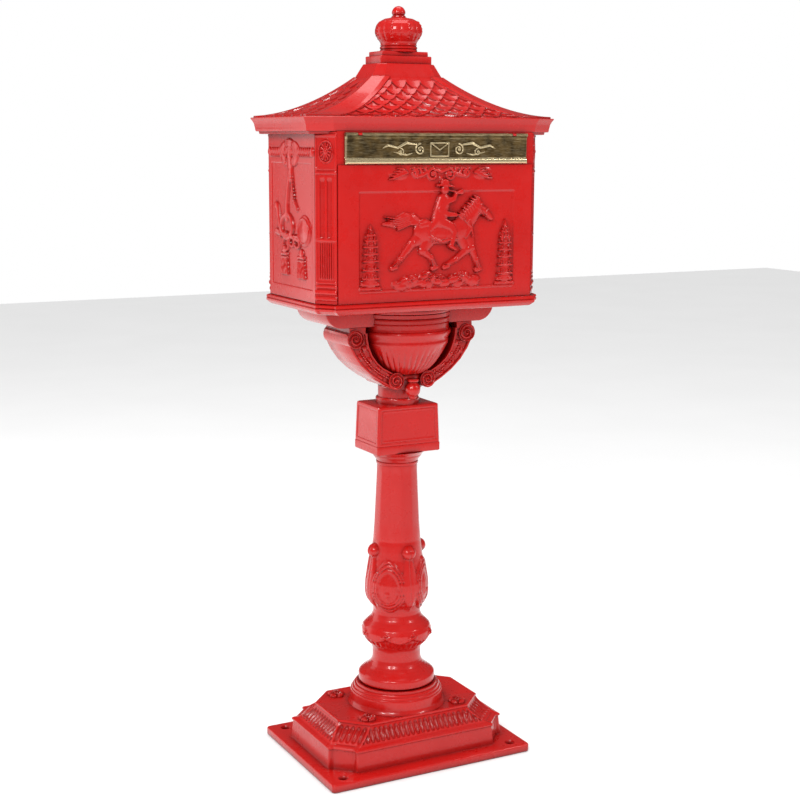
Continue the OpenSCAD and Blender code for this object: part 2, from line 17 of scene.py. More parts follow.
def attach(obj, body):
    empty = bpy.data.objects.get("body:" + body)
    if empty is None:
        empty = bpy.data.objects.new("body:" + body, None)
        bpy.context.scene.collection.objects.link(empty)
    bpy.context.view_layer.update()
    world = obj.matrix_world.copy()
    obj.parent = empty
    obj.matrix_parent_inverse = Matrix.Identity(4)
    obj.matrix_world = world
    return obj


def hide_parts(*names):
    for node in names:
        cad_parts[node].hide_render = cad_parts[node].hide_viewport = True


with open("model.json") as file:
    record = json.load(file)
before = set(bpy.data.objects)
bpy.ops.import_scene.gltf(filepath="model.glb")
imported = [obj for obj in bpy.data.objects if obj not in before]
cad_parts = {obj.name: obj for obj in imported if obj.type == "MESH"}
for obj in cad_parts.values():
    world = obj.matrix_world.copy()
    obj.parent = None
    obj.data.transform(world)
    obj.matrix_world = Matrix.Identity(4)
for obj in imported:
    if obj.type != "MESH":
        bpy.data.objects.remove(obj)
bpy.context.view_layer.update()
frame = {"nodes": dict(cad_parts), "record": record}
MM = 0.001
HEAD_Y = -12          # middle of the letter box, in millimetres in front of the column
FRONT_Y = -109.0      # face of the front panel
WALL_X = 160.5        # face of a side wall
PANEL_LOW = 648.2     # lower edge of the panels
PANEL_HIGH = 861.4    # upper edge of the panels

# %% [markdown]
# Two ways of turning points into a closed skin cover nearly all of the castings. Turned and
# moulded pieces are a stack of closed rings, one above the other. Panels are a grid of points
# seen from the front, with a flat back. In both, the ornament only moves the points, so it is
# real relief that catches the light at any angle.

# %% Skins from numpy grids
def add_piece(name, points, faces, sharp_degrees=38):
    """Makes a mesh object from points in millimetres and faces, shaded smooth up to an angle."""
    mesh = bpy.data.meshes.new(name)
    mesh.from_pydata((np.asarray(points) * MM).tolist(), [], faces)
    mesh.update()
    mesh.shade_smooth()
    mesh.set_sharp_from_angle(angle=math.radians(sharp_degrees))
    piece = bpy.data.objects.new(name, mesh)
    bpy.context.scene.collection.objects.link(piece)
    print(f"{name}: {len(mesh.vertices)} points, {len(mesh.polygons)} faces")
    return piece


def ring_faces(levels, n, first=0):
    """Quads between neighbouring rings: corner (i, j), (i, j+1), (i+1, j+1), (i+1, j), closed in
    j, with a fan of triangles to a middle point at each end."""
    i, j = np.meshgrid(np.arange(levels - 1), np.arange(n), indexing="ij")
    a, b = i * n + j, i * n + (j + 1) % n
    quads = np.stack([a, b, b + n, a + n], -1).reshape(-1, 4) + first
    k = np.arange(n)
    low, high = levels * n, levels * n + 1
    foot = np.stack([np.full(n, low), (k + 1) % n, k], -1) + first
    top = (levels - 1) * n
    head = np.stack([np.full(n, high), top + k, top + (k + 1) % n], -1) + first
    return quads.tolist() + foot.tolist() + head.tolist()


def ring_points(rings):
    """All points of a stack of rings, then the middle of the first and of the last ring."""
    flat = rings.reshape(-1, 3)
    return np.vstack([flat, rings[0].mean(0), rings[-1].mean(0)])


def add_stack(name, *stacks, sharp_degrees=38):
    """One object from one or more stacks of rings, each shaped (levels, points round, 3)."""
    points, faces, first = [], [], 0
    for rings in stacks:
        points.append(ring_points(rings))
        faces += ring_faces(rings.shape[0], rings.shape[1], first)
        first += len(points[-1])
    return add_piece(name, np.vstack(points), faces, sharp_degrees)


def slab_parts(front, normal, thick, first=0):
    """A grid of front points, a flat back that is `thick` behind the first corner, and a rim."""
    nv, nu, _ = front.shape
    normal = np.asarray(normal, float)
    i, j = np.meshgrid(np.arange(nv - 1), np.arange(nu - 1), indexing="ij")
    a = i * nu + j
    quads = np.stack([a, a + 1, a + nu + 1, a + nu], -1).reshape(-1, 4)
    grid = np.arange(nv * nu).reshape(nv, nu)
    rim = np.concatenate([grid[0, :-1], grid[:-1, -1], grid[-1, :0:-1], grid[:0:-1, 0]])
    flat = front.reshape(-1, 3)
    depth = (flat[rim] - flat[0]) @ normal + thick
    back = flat[rim] - depth[:, None] * normal
    r = len(rim)
    b = nv * nu + np.arange(r)
    sides = np.stack([np.roll(rim, -1), rim, b, np.roll(b, -1)], -1)
    faces = (quads + first).tolist() + (sides + first).tolist() + [(b[::-1] + first).tolist()]
    return np.vstack([flat, back]), faces


def add_slab(name, front, normal, thick, sharp_degrees=38):
    """One panel with relief on its front."""
    points, faces = slab_parts(front, normal, thick)
    return add_piece(name, points, faces, sharp_degrees)


def turned(z, r, n=144, centre=(0.0, 0.0)):
    """Rings of a turned piece: (r(z) cos a, r(z) sin a, z) for n angles a."""
    a = np.linspace(0, 2 * np.pi, n, endpoint=False)
    z, r = np.asarray(z, float), np.asarray(r, float)
    if r.ndim == 1:
        r = np.repeat(r[:, None], n, 1)
    return np.stack([centre[0] + r * np.cos(a), centre[1] + r * np.sin(a),
                     np.repeat(z[:, None], n, 1)], -1)


def smooth_step(x, low, high):
    """0 below low, 1 above high, and 3t^2 - 2t^3 between."""
    t = np.clip((x - low) / (high - low), 0, 1)
    return t * t * (3 - 2 * t)


def dome(x):
    """Height of a round-topped boss, sqrt(1 - x): 1 at its middle, 0 where x reaches 1."""
    return np.sqrt(np.clip(1 - x, 0, 1))


def fine_profile(knots, step=1.0):
    """Points every `step` mm along a chain of (z, r) knots, keeping the knots themselves."""
    out = []
    for (z0, r0), (z1, r1) in zip(knots[:-1], knots[1:]):
        k = max(1, int(math.hypot(z1 - z0, r1 - r0) / step))
        t = np.linspace(0, 1, k, endpoint=False)
        out.append(np.stack([z0 + (z1 - z0) * t, r0 + (r1 - r0) * t], -1))
    out.append(np.array([knots[-1]], float))
    return np.vstack(out)


# %% [markdown]
# Relief is built as a height map: for every point of a panel, the height of the highest thing
# drawn there. The basic mark is a tapered bar with a rounded top, because a horse's leg, a
# ribbon and a scroll are all chains of such bars.

# %% Marks for relief
class Relief:
    """Heights over a grid of u (across) and v (up), in millimetres."""

    def __init__(self, u, v):
        self.u, self.v = u, v
        self.h = np.zeros((len(v), len(u)))

    def window(self, u0, u1, v0, v1):
        a, b = np.searchsorted(self.u, [u0, u1])
        c, d = np.searchsorted(self.v, [v0, v1])
        return (slice(c, d), slice(a, b)), *np.meshgrid(self.u[a:b], self.v[c:d])

    def bar(self, p, q, r0, r1, height, base=0.0, power=0.5):
        """Height base + height (1 - (d / r)^2)^power, where d is the distance to the line p-q
        and r runs from r0 at p to r1 at q. The higher of this and what is there stays."""
        r = max(r0, r1) + 0.1
        win, u, v = self.window(min(p[0], q[0]) - r, max(p[0], q[0]) + r,
                                min(p[1], q[1]) - r, max(p[1], q[1]) + r)
        du, dv = q[0] - p[0], q[1] - p[1]
        t = np.clip(((u - p[0]) * du + (v - p[1]) * dv) / max(du * du + dv * dv, 1e-9), 0, 1)
        d = np.hypot(u - p[0] - t * du, v - p[1] - t * dv)
        inside = 1 - (d / (r0 + (r1 - r0) * t)) ** 2
        mark = np.where(inside > 0, base + height * np.clip(inside, 0, 1) ** power, 0)
        self.h[win] = np.maximum(self.h[win], mark)

    def chain(self, points, radii, height, base=0.0, power=0.5):
        """A chain of bars through points, with a radius at each."""
        for k in range(len(points) - 1):
            self.bar(points[k], points[k + 1], radii[k], radii[k + 1], height, base, power)

    def oval(self, u0, v0, ru, rv, height, base=0.0, power=0.5, tilt=0.0):
        """Rounded oval boss: base + height (1 - e)^power, with e the squared oval distance."""
        r = max(ru, rv) + 0.1
        win, u, v = self.window(u0 - r, u0 + r, v0 - r, v0 + r)
        c, s = math.cos(tilt), math.sin(tilt)
        x, y = (u - u0) * c + (v - v0) * s, (v - v0) * c - (u - u0) * s
        inside = 1 - (x / ru) ** 2 - (y / rv) ** 2
        mark = np.where(inside > 0, base + height * np.clip(inside, 0, 1) ** power, 0)
        self.h[win] = np.maximum(self.h[win], mark)

    def ring(self, u0, v0, ru, rv, wide, height, base=0.0):
        """Raised oval line `wide` mm across."""
        r = max(ru, rv) + wide
        win, u, v = self.window(u0 - r, u0 + r, v0 - r, v0 + r)
        rho = np.hypot((u - u0) / ru, (v - v0) / rv)
        inside = 1 - ((rho - 1) * min(ru, rv) / (wide / 2)) ** 2
        mark = np.where(inside > 0, base + height * np.sqrt(np.clip(inside, 0, 1)), 0)
        self.h[win] = np.maximum(self.h[win], mark)

    def spiral(self, u0, v0, r, turns, start, hand, width, height, base=0.0):
        """Scroll: bars along radius r (1 - 0.8 t), angle start + hand 2 pi turns t."""
        t = np.linspace(0, 1, int(14 * turns) + 2)
        a = start + hand * 2 * np.pi * turns * t
        rho = r * (1 - 0.8 * t)
        points = np.stack([u0 + rho * np.cos(a), v0 + rho * np.sin(a)], -1)
        self.chain(points, width * (1 - 0.35 * t), height, base)
        self.oval(u0, v0, width * 1.3, width * 1.3, height, base)

    def sink(self, u0, u1, v0, v1, depth, soft=1.2):
        """Lowers a rectangle by depth, with soft edges."""
        u, v = np.meshgrid(self.u, self.v)
        inside = (smooth_step(u, u0 - soft, u0 + soft) * (1 - smooth_step(u, u1 - soft, u1 + soft))
                  * smooth_step(v, v0 - soft, v0 + soft)
                  * (1 - smooth_step(v, v1 - soft, v1 + soft)))
        self.h -= depth * inside


def panel_points(relief, origin, across, normal):
    """Points origin + u across + v up + h normal of a standing panel, up being +Z."""
    u, v = np.meshgrid(relief.u, relief.v)
    across, normal = np.asarray(across, float), np.asarray(normal, float)
    up = np.array([0.0, 0.0, 1.0])
    return (np.asarray(origin, float) + u[..., None] * across + v[..., None] * up
            + relief.h[..., None] * normal)


print("height maps use a grid about 1 mm apart")

# %% [markdown]
# Powder coat on a casting is a thick glossy skin. It is one colour, but never flat: its tone
# wanders a little and it has a faint orange-peel ripple. Shade is painted into the colour in
# hollows and cracks, darker where an ambient-occlusion node finds them closed in. The gloss is
# the coat, so the base stays saturated and the reflections stay white.

# %% Red powder coat
def new_material(name):
    """A material with an empty Principled shader, its node tree and a coordinate node."""
    material = bpy.data.materials.new(name)
    material.use_nodes = True
    tree = material.node_tree
    shader = tree.nodes["Principled BSDF"]
    place = tree.nodes.new("ShaderNodeTexCoord")
    return material, tree, shader, place.outputs["Object"]


def noise(tree, where, scale, detail=3.0, rough=0.5):
    """A noise texture on the given coordinates; scale is in features per metre."""
    node = tree.nodes.new("ShaderNodeTexNoise")
    node.inputs["Scale"].default_value = scale
    node.inputs["Detail"].default_value = detail
    node.inputs["Roughness"].default_value = rough
    tree.links.new(where, node.inputs["Vector"])
    return node.outputs["Fac"]


def spread(tree, value, low, high, out_low=0.0, out_high=1.0):
    """Maps low..high of a value to out_low..out_high, clamped."""
    node = tree.nodes.new("ShaderNodeMapRange")
    for socket, number in zip(("From Min", "From Max", "To Min", "To Max"),
                              (low, high, out_low, out_high)):
        node.inputs[socket].default_value = number
    tree.links.new(value, node.inputs["Value"])
    return node.outputs["Result"]


def blend_colours(tree, factor, first, second):
    """A colour between two colours or colour outputs."""
    node = tree.nodes.new("ShaderNodeMix")
    node.data_type = "RGBA"
    tree.links.new(factor, node.inputs["Factor"])
    for socket, colour in ((node.inputs[6], first), (node.inputs[7], second)):
        if isinstance(colour, tuple):
            socket.default_value = (*colour, 1.0)
        else:
            tree.links.new(colour, socket)
    return node.outputs[2]


def bump(tree, height, strength, distance, shader):
    """Sends a height to the shader's normal."""
    node = tree.nodes.new("ShaderNodeBump")
    node.inputs["Strength"].default_value = strength
    node.inputs["Distance"].default_value = distance
    tree.links.new(height, node.inputs["Height"])
    tree.links.new(node.outputs["Normal"], shader.inputs["Normal"])


def occlusion_amount(tree, distance):
    """How open a point is to its surroundings within a distance: 0 in a crack, 1 in the open."""
    node = tree.nodes.new("ShaderNodeAmbientOcclusion")
    node.samples = 6
    node.inputs["Distance"].default_value = distance
    return node.outputs["AO"]


def powder_coat(name, crest, hollow):
    """Glossy powder coat: crest colour in the open, the hollow colour in cracks as painted shade.
    """
    material, tree, shader, where = new_material(name)
    # Painted shade: occlusion within 12 mm mixes the dark hollow colour into the paint.
    unshaded_part = spread(tree, occlusion_amount(tree, 0.012), 0.35, 0.95)
    cloud = spread(tree, noise(tree, where, 14.0), 0.35, 0.7, 0.0, 1.0)
    coat = blend_colours(tree, cloud, crest, tuple(c * 0.9 for c in crest))
    tree.links.new(blend_colours(tree, unshaded_part, hollow, coat), shader.inputs["Base Color"])
    tree.links.new(spread(tree, noise(tree, where, 60.0), 0.3, 0.7, 0.24, 0.34),
                   shader.inputs["Roughness"])
    shader.inputs["Specular IOR Level"].default_value = 0.30
    shader.inputs["Coat Weight"].default_value = 0.38
    shader.inputs["Coat Roughness"].default_value = 0.09
    bump(tree, noise(tree, where, 420.0, 2.0), 0.10, 0.0006, shader)
    return material


# The second colour is the painted shade for cracks and hollows, not a colour of the paint.
red_coat = powder_coat("red_coat", (0.47, 0.0055, 0.004), (0.15, 0.002, 0.0015))
print("materials so far:", [m.name for m in bpy.data.materials])

# %% [markdown]
# The flap is brass plate darkened with an antique patina. Hands and letters polish the raised
# icon and the lower lip, so the bright metal follows an attribute called worn that each point
# of the flap carries.

# %% Antique brass, zinc, chrome and rubber
def antique_brass():
    """Dark brown patina where worn is 0, pale polished brass where it is 1, broken by streaks."""
    material, tree, shader, where = new_material("antique_brass")
    worn = tree.nodes.new("ShaderNodeAttribute")
    worn.attribute_name = "worn"
    streak_map = tree.nodes.new("ShaderNodeMapping")
    streak_map.inputs["Scale"].default_value = (0.25, 1.0, 2.2)
    tree.links.new(where, streak_map.inputs["Vector"])
    streaks = noise(tree, streak_map.outputs["Vector"], 420.0, 6.0, 0.7)
    add = tree.nodes.new("ShaderNodeMath")
    add.operation = "MULTIPLY_ADD"
    tree.links.new(streaks, add.inputs[0])
    add.inputs[1].default_value = 0.9
    tree.links.new(worn.outputs["Fac"], add.inputs[2])
    shine = spread(tree, add.outputs[0], 0.42, 1.25)
    patina = blend_colours(tree, spread(tree, noise(tree, where, 90.0, 5.0), 0.35, 0.65),
                           (0.050, 0.031, 0.010), (0.17, 0.105, 0.035))
    tree.links.new(blend_colours(tree, shine, patina, (0.86, 0.70, 0.42)),
                   shader.inputs["Base Color"])
    shader.inputs["Metallic"].default_value = 0.85
    tree.links.new(spread(tree, shine, 0.0, 1.0, 0.46, 0.24), shader.inputs["Roughness"])
    bump(tree, streaks, 0.25, 0.0004, shader)
    return material


def plated_metal(name, colour, rough, scratch):
    """Plated metal with fine marks: roughness wanders and a slight bump breaks the shine."""
    material, tree, shader, where = new_material(name)
    cloud = spread(tree, noise(tree, where, 120.0, 5.0), 0.3, 0.7)
    tree.links.new(blend_colours(tree, cloud, colour, tuple(c * 0.78 for c in colour)),
                   shader.inputs["Base Color"])
    shader.inputs["Metallic"].default_value = 1.0
    tree.links.new(spread(tree, noise(tree, where, 400.0, 4.0), 0.3, 0.7, rough, rough + 0.14),
                   shader.inputs["Roughness"])
    bump(tree, noise(tree, where, 1500.0, 3.0), scratch, 0.0002, shader)
    return material


def foam_rubber():
    """Matt black foam with open pores."""
    material, tree, shader, where = new_material("foam_rubber")
    pores = noise(tree, where, 1800.0, 3.0)
    tree.links.new(blend_colours(tree, pores, (0.008, 0.008, 0.008), (0.03, 0.03, 0.03)),
                   shader.inputs["Base Color"])
    shader.inputs["Roughness"].default_value = 0.85
    bump(tree, pores, 0.4, 0.0004, shader)
    return material


brass = antique_brass()
zinc = plated_metal("zinc_plate", (0.52, 0.53, 0.54), 0.32, 0.12)
chrome = plated_metal("chrome_plate", (0.78, 0.79, 0.80), 0.12, 0.04)
rubber = foam_rubber()
FINISHES = {"red_paint": red_coat, "aged_brass": brass, "zinc_steel": zinc,
            "lock_chrome": chrome, "black_rubber": rubber}


def finish(piece, *stands_for, slot="red_paint", body="stand"):
    """Gives a piece the material of its slot, the body it rides on, and hides the nodes it
    replaces.
    """
    piece.data.materials.clear()
    piece.data.materials.append(FINISHES[slot])
    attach(piece, body)
    if stands_for:
        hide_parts(*stands_for)
    return piece


slot_of = {s["node"]: s["material_slot"] for s in frame["record"]["subparts"]}
for node, piece in frame["nodes"].items():
    piece.data.materials.clear()
    piece.data.materials.append(FINISHES[slot_of[node]])
print(len(slot_of), "nodes have a finish")

# %% [markdown]
# The base is four-sided with its corners cut off, and every level of it is the same outline at
# another size. So one function gives rings of that outline, with each point's place along its
# own side. The flutes, the set-back corners and the roof's tiles are then written in that place.

# %% Rings with cut corners
def cut_rings(levels, counts):
    """Rings of a rectangle with cut corners, one for each (z, half width, half depth, cut along
    x, cut along y, middle in y). Eight sides, counts[k] points on side k. Returns the points,
    the side of each, the distance from the side's middle, its half length and its normal."""
    z, hx, hy, cx, cy, yc = np.asarray(levels, float).T[:, :, None]
    corner_x = np.concatenate([cx - hx, hx - cx, hx, hx, hx - cx, cx - hx, -hx, -hx], 1)
    corner_y = np.concatenate([-hy, -hy, cy - hy, hy - cy, hy, hy, hy - cy, cy - hy], 1) + yc
    x, y, side, along, half, nx, ny = [], [], [], [], [], [], []
    for k, count in enumerate(counts):
        t = np.arange(count) / count
        dx = np.roll(corner_x, -1, 1)[:, k:k + 1] - corner_x[:, k:k + 1]
        dy = np.roll(corner_y, -1, 1)[:, k:k + 1] - corner_y[:, k:k + 1]
        length = np.hypot(dx, dy)
        x.append(corner_x[:, k:k + 1] + dx * t)
        y.append(corner_y[:, k:k + 1] + dy * t)
        side.append(np.full(count, k))
        along.append((t - 0.5) * length)
        half.append(np.repeat(length / 2, count, 1))
        nx.append(np.repeat(dy / length, count, 1))
        ny.append(np.repeat(-dx / length, count, 1))
    x, y, along, half, nx, ny = (np.concatenate(v, 1) for v in (x, y, along, half, nx, ny))
    rings = np.stack([x, y, np.repeat(z, x.shape[1], 1)], -1)
    return rings, np.concatenate(side), along, half, np.stack([nx, ny, 0 * nx], -1)


def fill_levels(knots, step):
    """Straight runs between knot levels, in steps of about `step` mm of height or width."""
    knots = np.asarray(knots, float)
    out = []
    for a, b in zip(knots[:-1], knots[1:]):
        k = max(1, int(np.abs(b - a)[:3].max() / step))
        out.append(a + (b - a) * np.linspace(0, 1, k, endpoint=False)[:, None])
    return np.vstack(out + [knots[-1:]])


print("one outline function serves the base, the tray, the neck block and the roof")

# %% [markdown]
# The base plate is a thick flange with rounded edges and four anchor holes. Its outline is a
# rounded rectangle. The holes are cut with a boolean, which is applied at once.

# %% Base plate with anchor holes
def rounded_ring(hx, hy, r, z, n=12, centre=(0.0, 0.0)):
    """One ring: quarter circles of radius r at the corners of a rectangle, n points each."""
    a = np.linspace(0, np.pi / 2, n)
    quarter = [(sx * (hx - r) + r * np.cos(a + q), sy * (hy - r) + r * np.sin(a + q))
               for q, sx, sy in ((0, 1, 1), (np.pi / 2, -1, 1), (np.pi, -1, -1),
                                 (1.5 * np.pi, 1, -1))]
    x, y = (np.concatenate(v) for v in zip(*quarter))
    return np.stack([x + centre[0], y + centre[1], np.full_like(x, z)], -1)


def rounded_block(hx, hy, r, z0, z1, soft, centre=(0.0, 0.0)):
    """Rings of a block whose upper and lower edges are rounded by `soft`."""
    a = np.linspace(0, np.pi / 2, 5)
    low = [rounded_ring(hx - soft + soft * math.sin(t), hy - soft + soft * math.sin(t), r,
                        z0 + soft - soft * math.cos(t), centre=centre) for t in a]
    high = [rounded_ring(hx - soft + soft * math.cos(t), hy - soft + soft * math.cos(t), r,
                         z1 - soft + soft * math.sin(t), centre=centre) for t in a]
    return np.stack(low + high)


def cut_with(piece, cutter):
    """Subtracts the cutter from the piece and applies it."""
    cut = piece.modifiers.new("cut", "BOOLEAN")
    cut.object = cutter
    cut.solver = "EXACT"
    graph = bpy.context.evaluated_depsgraph_get()
    mesh = bpy.data.meshes.new_from_object(piece.evaluated_get(graph))
    piece.modifiers.clear()
    piece.data = mesh
    mesh.set_sharp_from_angle(angle=math.radians(30))
    bpy.data.objects.remove(cutter)


plate = add_stack("base_flange", rounded_block(153.5, 114.5, 5, 0, 11.5, 2.0))
anchors = [turned([-5, 8.5, 10.2, 14], [5.5, 5.5, 6.4, 8.5], 40, (x, y))
           for x in (-130.5, 130.5) for y in (-97, 97)]
cut_with(plate, add_stack("anchor_cutter", *anchors))
finish(plate)

# %% [markdown]
# The plinth rises from the flange as a plain wall with set-back corners, turns in under a small
# moulding, and climbs a hollow band of tongue-shaped flutes to the deck.

# %% Plinth with fluted band
BASE_COUNTS = [240, 48, 150, 48] * 2
wall_knots = [(8, 137.5, 92.5, 30, 30, 0), (13, 136.5, 91.5, 30, 30, 0),
              (37, 134.5, 89.5, 30, 30, 0),
              (38.5, 136, 91, 30, 30, 0), (40.5, 136, 91, 30, 30, 0), (42, 134, 89, 30, 30, 0),
              (42.6, 131, 86, 30, 30, 0)]
band_knots = [(43.5, 129.5, 84.5, 30.5, 30.5, 0), (47.5, 124.5, 80.5, 31, 31, 0),
              (53, 118, 75.5, 32, 32, 0), (59, 112.5, 71.5, 32.5, 32.5, 0),
              (64, 109.5, 69.5, 33, 33, 0)]
deck_knots = [(65.5, 110.3, 70.3, 33, 33, 0), (67.2, 110, 70, 33, 33, 0),
              (68, 108.6, 68.6, 33, 33, 0),
              (67.4, 107, 67, 33, 33, 0), (66.6, 104.5, 64.5, 33, 33, 0)]
levels = np.vstack([fill_levels(wall_knots, 2.0), fill_levels(band_knots, 0.9),
                    fill_levels(deck_knots, 1.0)])
rings, side, along, half, normal = cut_rings(levels, BASE_COUNTS)
height = rings[..., 2]
at_corner = (side % 2 == 1)[None, :]
set_back = smooth_step(half - np.abs(along), 0.5, 7.0) * at_corner
v = (height - 43.5) / (64 - 43.5)
pitch = np.where(at_corner, 8.6, 7.7)
cell = (along / pitch + 0.5) % 1.0 - 0.5
tongue = np.clip(1 - (cell / 0.40) ** 2 - (np.clip(v - 0.66, 0, 9) / 0.24) ** 2
                 - (np.clip(0.26 - v, 0, 9) / 0.18) ** 2, 0, 1) ** 0.5
tongue *= smooth_step(half - np.abs(along), 1.0, 3.5)
rings = rings - normal * (set_back * np.where(height < 43, 4.2, 2.0)
                          * (1 - smooth_step(height, 58, 66)))[..., None]
rings = rings - (normal * 0.75 + np.array([0, 0, 0.6])) * (2.9 * tongue)[..., None]
finish(add_stack("fluted_plinth", rings))

# %% [markdown]
# A round drum on the deck carries the column. It is a turned piece: stepped rings, then a dark
# shadow gap under the column's foot.

# %% Socket drum and flower bosses
drum_knots = [(60, 69), (67, 69), (68.5, 67.6), (71, 66), (73, 65.3), (84.5, 65), (85.5, 64.6),
              (86.3, 63.2), (88.2, 62.9), (89.2, 62.3), (90, 60.6), (92, 60.2), (93, 59.6),
              (93.8, 57.4), (96.3, 57), (97, 56.2)]
drum = fine_profile(drum_knots, 1.2)
finish(add_stack("socket_drum", turned(drum[:, 0], drum[:, 1], 160)),
       "base_plinth")


def flower(x, y, z, r):
    """Flower boss: radius r (1 + 0.14 |cos 2.5a|) with five petals, each crowned, and a bud."""
    a = np.linspace(0, 2 * np.pi, 100, endpoint=False)
    rho = np.concatenate([[1.0], np.linspace(1.0, 0.04, 26)])
    petal = np.abs(np.cos(2.5 * a)) ** 0.7
    edge = r * (0.80 + 0.22 * petal)
    crown = 4.8 * dome(((rho[:, None] - 0.62) / 0.42) ** 2) * (0.35 + 0.65 * petal)
    vein = 0.5 * np.cos(25 * a) * (rho[:, None] > 0.4) * (rho[:, None] < 0.95)
    bud = 6.6 * np.clip(1 - (rho[:, None] / 0.34) ** 2, 0, 1) ** 0.5 * (0.9 + 0.1 * np.cos(10 * a))
    high = np.maximum(crown + vein, bud)
    high[0] = -1.5
    high[1] = 0
    return np.stack([x + rho[:, None] * edge * np.cos(a), y + rho[:, None] * edge * np.sin(a),
                     z + high], -1)


flowers = [flower(x, y, 66.6, 12.4) for x in (-71, 71) for y in (-50, 50)]
finish(add_stack("deck_flowers", *flowers), "base_rosettes")

# %% [markdown]
# The column is one casting, turned in outline but modelled all round: a lobed foot, a ring bulge
# hung with petals, and a leaf vase with four drop-shaped medallions and four curled leaf tips.
# Its radius is a turned profile plus relief written in height and angle.

# %% Column
column_knots = [(97.2, 49), (98.6, 51), (99.2, 53.3), (101, 53.8), (108.5, 53.8), (110.5, 53.0),
                (112.6, 50.8), (115.5, 46.6), (119, 42), (123, 38), (127, 35.6), (131, 34.3),
                (135, 33.9),
                (144, 33.9), (147, 34.6), (150, 35.8), (153, 38), (156, 41), (162, 45.2),
                (168, 47.5),
                (174, 47.6), (180, 45.4), (186, 40.8), (189, 37.8), (192, 35.6), (197.6, 33.3),
                (203, 33),
                (209, 34.2), (215, 38), (221, 40.6), (227, 41.8), (236, 42), (245, 41.4),
                (256, 39.6),
                (268, 37.8), (279, 36.2), (290, 35), (298, 34), (304, 33), (411, 27.9),
                (412, 28.9),
                (414.6, 29.2), (415.6, 28.4), (417, 29.3), (420, 31.2), (423, 33.6),
                (425, 34.2), (427.5, 37.0), (431, 41)]
profile = fine_profile(column_knots, 1.0)
z, r = profile[:, :1], profile[:, 1:]
a = np.linspace(0, 2 * np.pi, 192, endpoint=False)[None, :]

facet = np.cos(np.pi / 12) / np.cos((a + np.pi / 12) % (np.pi / 6) - np.pi / 12)
on_shaft = smooth_step(z, 306, 330) * (1 - smooth_step(z, 400, 410))
r_all = r * (1 + 0.55 * (facet - 1) * on_shaft)

lobes = np.abs(np.sin(4 * a))
foot_lobes = 1.0 * np.exp(-((z - 114.0) / 3.0) ** 2) * (lobes ** 0.6 - 0.6)
hem = 163 + 6.5 * (1 - lobes ** 0.8)
petals = 1.3 * smooth_step(z, hem - 0.8, hem + 0.8) * (1 - smooth_step(z, 180, 187))
hem_line = 1.1 * np.exp(-((z - hem - 1.2) / 1.3) ** 2)
ribs = 0.9 * np.cos(32 * a) * smooth_step(z, 152, 157) * (1 - smooth_step(z, hem - 2, hem))
boss_place = (a / (np.pi / 4) + 0.5) % 1.0 - 0.5
bosses = np.zeros_like(z * a)
for du, dz, size in ((0, 0, 3.0), (-4.4, 1.2, 2.4), (4.4, 1.2, 2.4), (0, 5.0, 2.4)):
    d2 = (boss_place * np.pi / 4 * 47 - du) ** 2 + (z - 170 - dz) ** 2
    bosses = np.maximum(bosses, 2.0 * dome(d2 / size ** 2))

arc = ((a / (np.pi / 2)) % 1.0 - 0.5) * np.pi / 2 * 41
wide = 25.5 - 9 * smooth_step(z, 250, 290)
e = np.sqrt((arc / wide) ** 2 + ((z - 240) / np.where(z > 240, 40, 35)) ** 2)
medal = sum(1.7 * dome(((e - at) / 0.072) ** 2) for at in (0.95, 0.80, 0.65))
medal += 1.2 * smooth_step(1.02 - e, 0, 0.1)
shell = 2.6 * dome((e / 0.52) ** 2) * (0.9 + 0.1 * np.cos(arc * 1.15))
eyelet = dome((arc ** 2 + (z - 232) ** 2) / 16)
medal = np.maximum(medal, shell) + 1.3 * eyelet
stem_arc = ((a / (np.pi / 2) + 0.5) % 1.0 - 0.5) * np.pi / 2 * 38
stem_wide = 5.6 + 5.5 * smooth_step(z, 205, 240) * (1 - smooth_step(z, 250, 292))
stem = 3.0 * dome((stem_arc / stem_wide) ** 2)
stem *= smooth_step(z, 203, 215) * (1 - smooth_step(z, 286, 296))
stem -= 0.8 * np.exp(-(stem_arc / 1.0) ** 2) * smooth_step(z, 208,
                                                           220) * (1 - smooth_step(z, 280, 290))
tip = 9.4 * np.sqrt(np.clip(1 - (stem_arc / 10.4) ** 2 - ((z - 290) / 10) ** 2, 0, 1))
tip -= 1.6 * np.exp(-(stem_arc / 1.3) ** 2) * (tip > 0)
r_all = r_all + foot_lobes + petals + hem_line + ribs + bosses
r_all = r_all + np.maximum(medal, np.maximum(stem, tip))
shaft = turned(profile[:, 0], r_all, 192)
cap = rounded_block(48.2, 35.6, 2.2, 431, 443, 1.3)
finish(add_stack("turned_column", shaft, cap), "column")

# %% [markdown]
# The neck block tapers slightly and has a framed panel sunk in each face. Each side of its
# outline carries the frame, so the sunk part is written as distance from the edges of the side.

# %% Neck block, ring and short drum
neck_knots = [(442, 45, 33, 2, 2, 0), (443, 47.8, 35.3, 2, 2, 0), (445, 47.8, 35.3, 2, 2, 0),
              (494, 46.1, 34.1, 2, 2, 0), (496, 45.6, 33.6, 2, 2, 0), (496.8, 43.5, 31.5, 2, 2, 0)]
rings, side, along, half, normal = cut_rings(fill_levels(neck_knots, 0.9), [110, 6, 80, 6] * 2)
height = rings[..., 2]
edge = np.minimum(half - np.abs(along), np.minimum(height - 443.5, 495.5 - height))
flat_side = (side % 2 == 0)[None, :]
sunk = smooth_step(edge, 3.0, 4.2) * 0.9 - 0.35 * np.exp(-((edge - 5.6) / 0.8) ** 2)
rings = rings - normal * (sunk * flat_side)[..., None]
ring_knots = [(495, 29), (496, 30), (503.5, 30), (505, 29), (505.6, 26.8), (521, 26.8)]
neck_ring = fine_profile(ring_knots, 1.0)
finish(add_stack("neck_casting", rings, turned(neck_ring[:, 0], neck_ring[:, 1], 96)),
       "neck_block")

# %% [markdown]
# The bowl flares from a stem to a wide rim, like a lampshade upside down. Fine flutes run up it
# and meet at the stem; two rounded rings finish the rim.

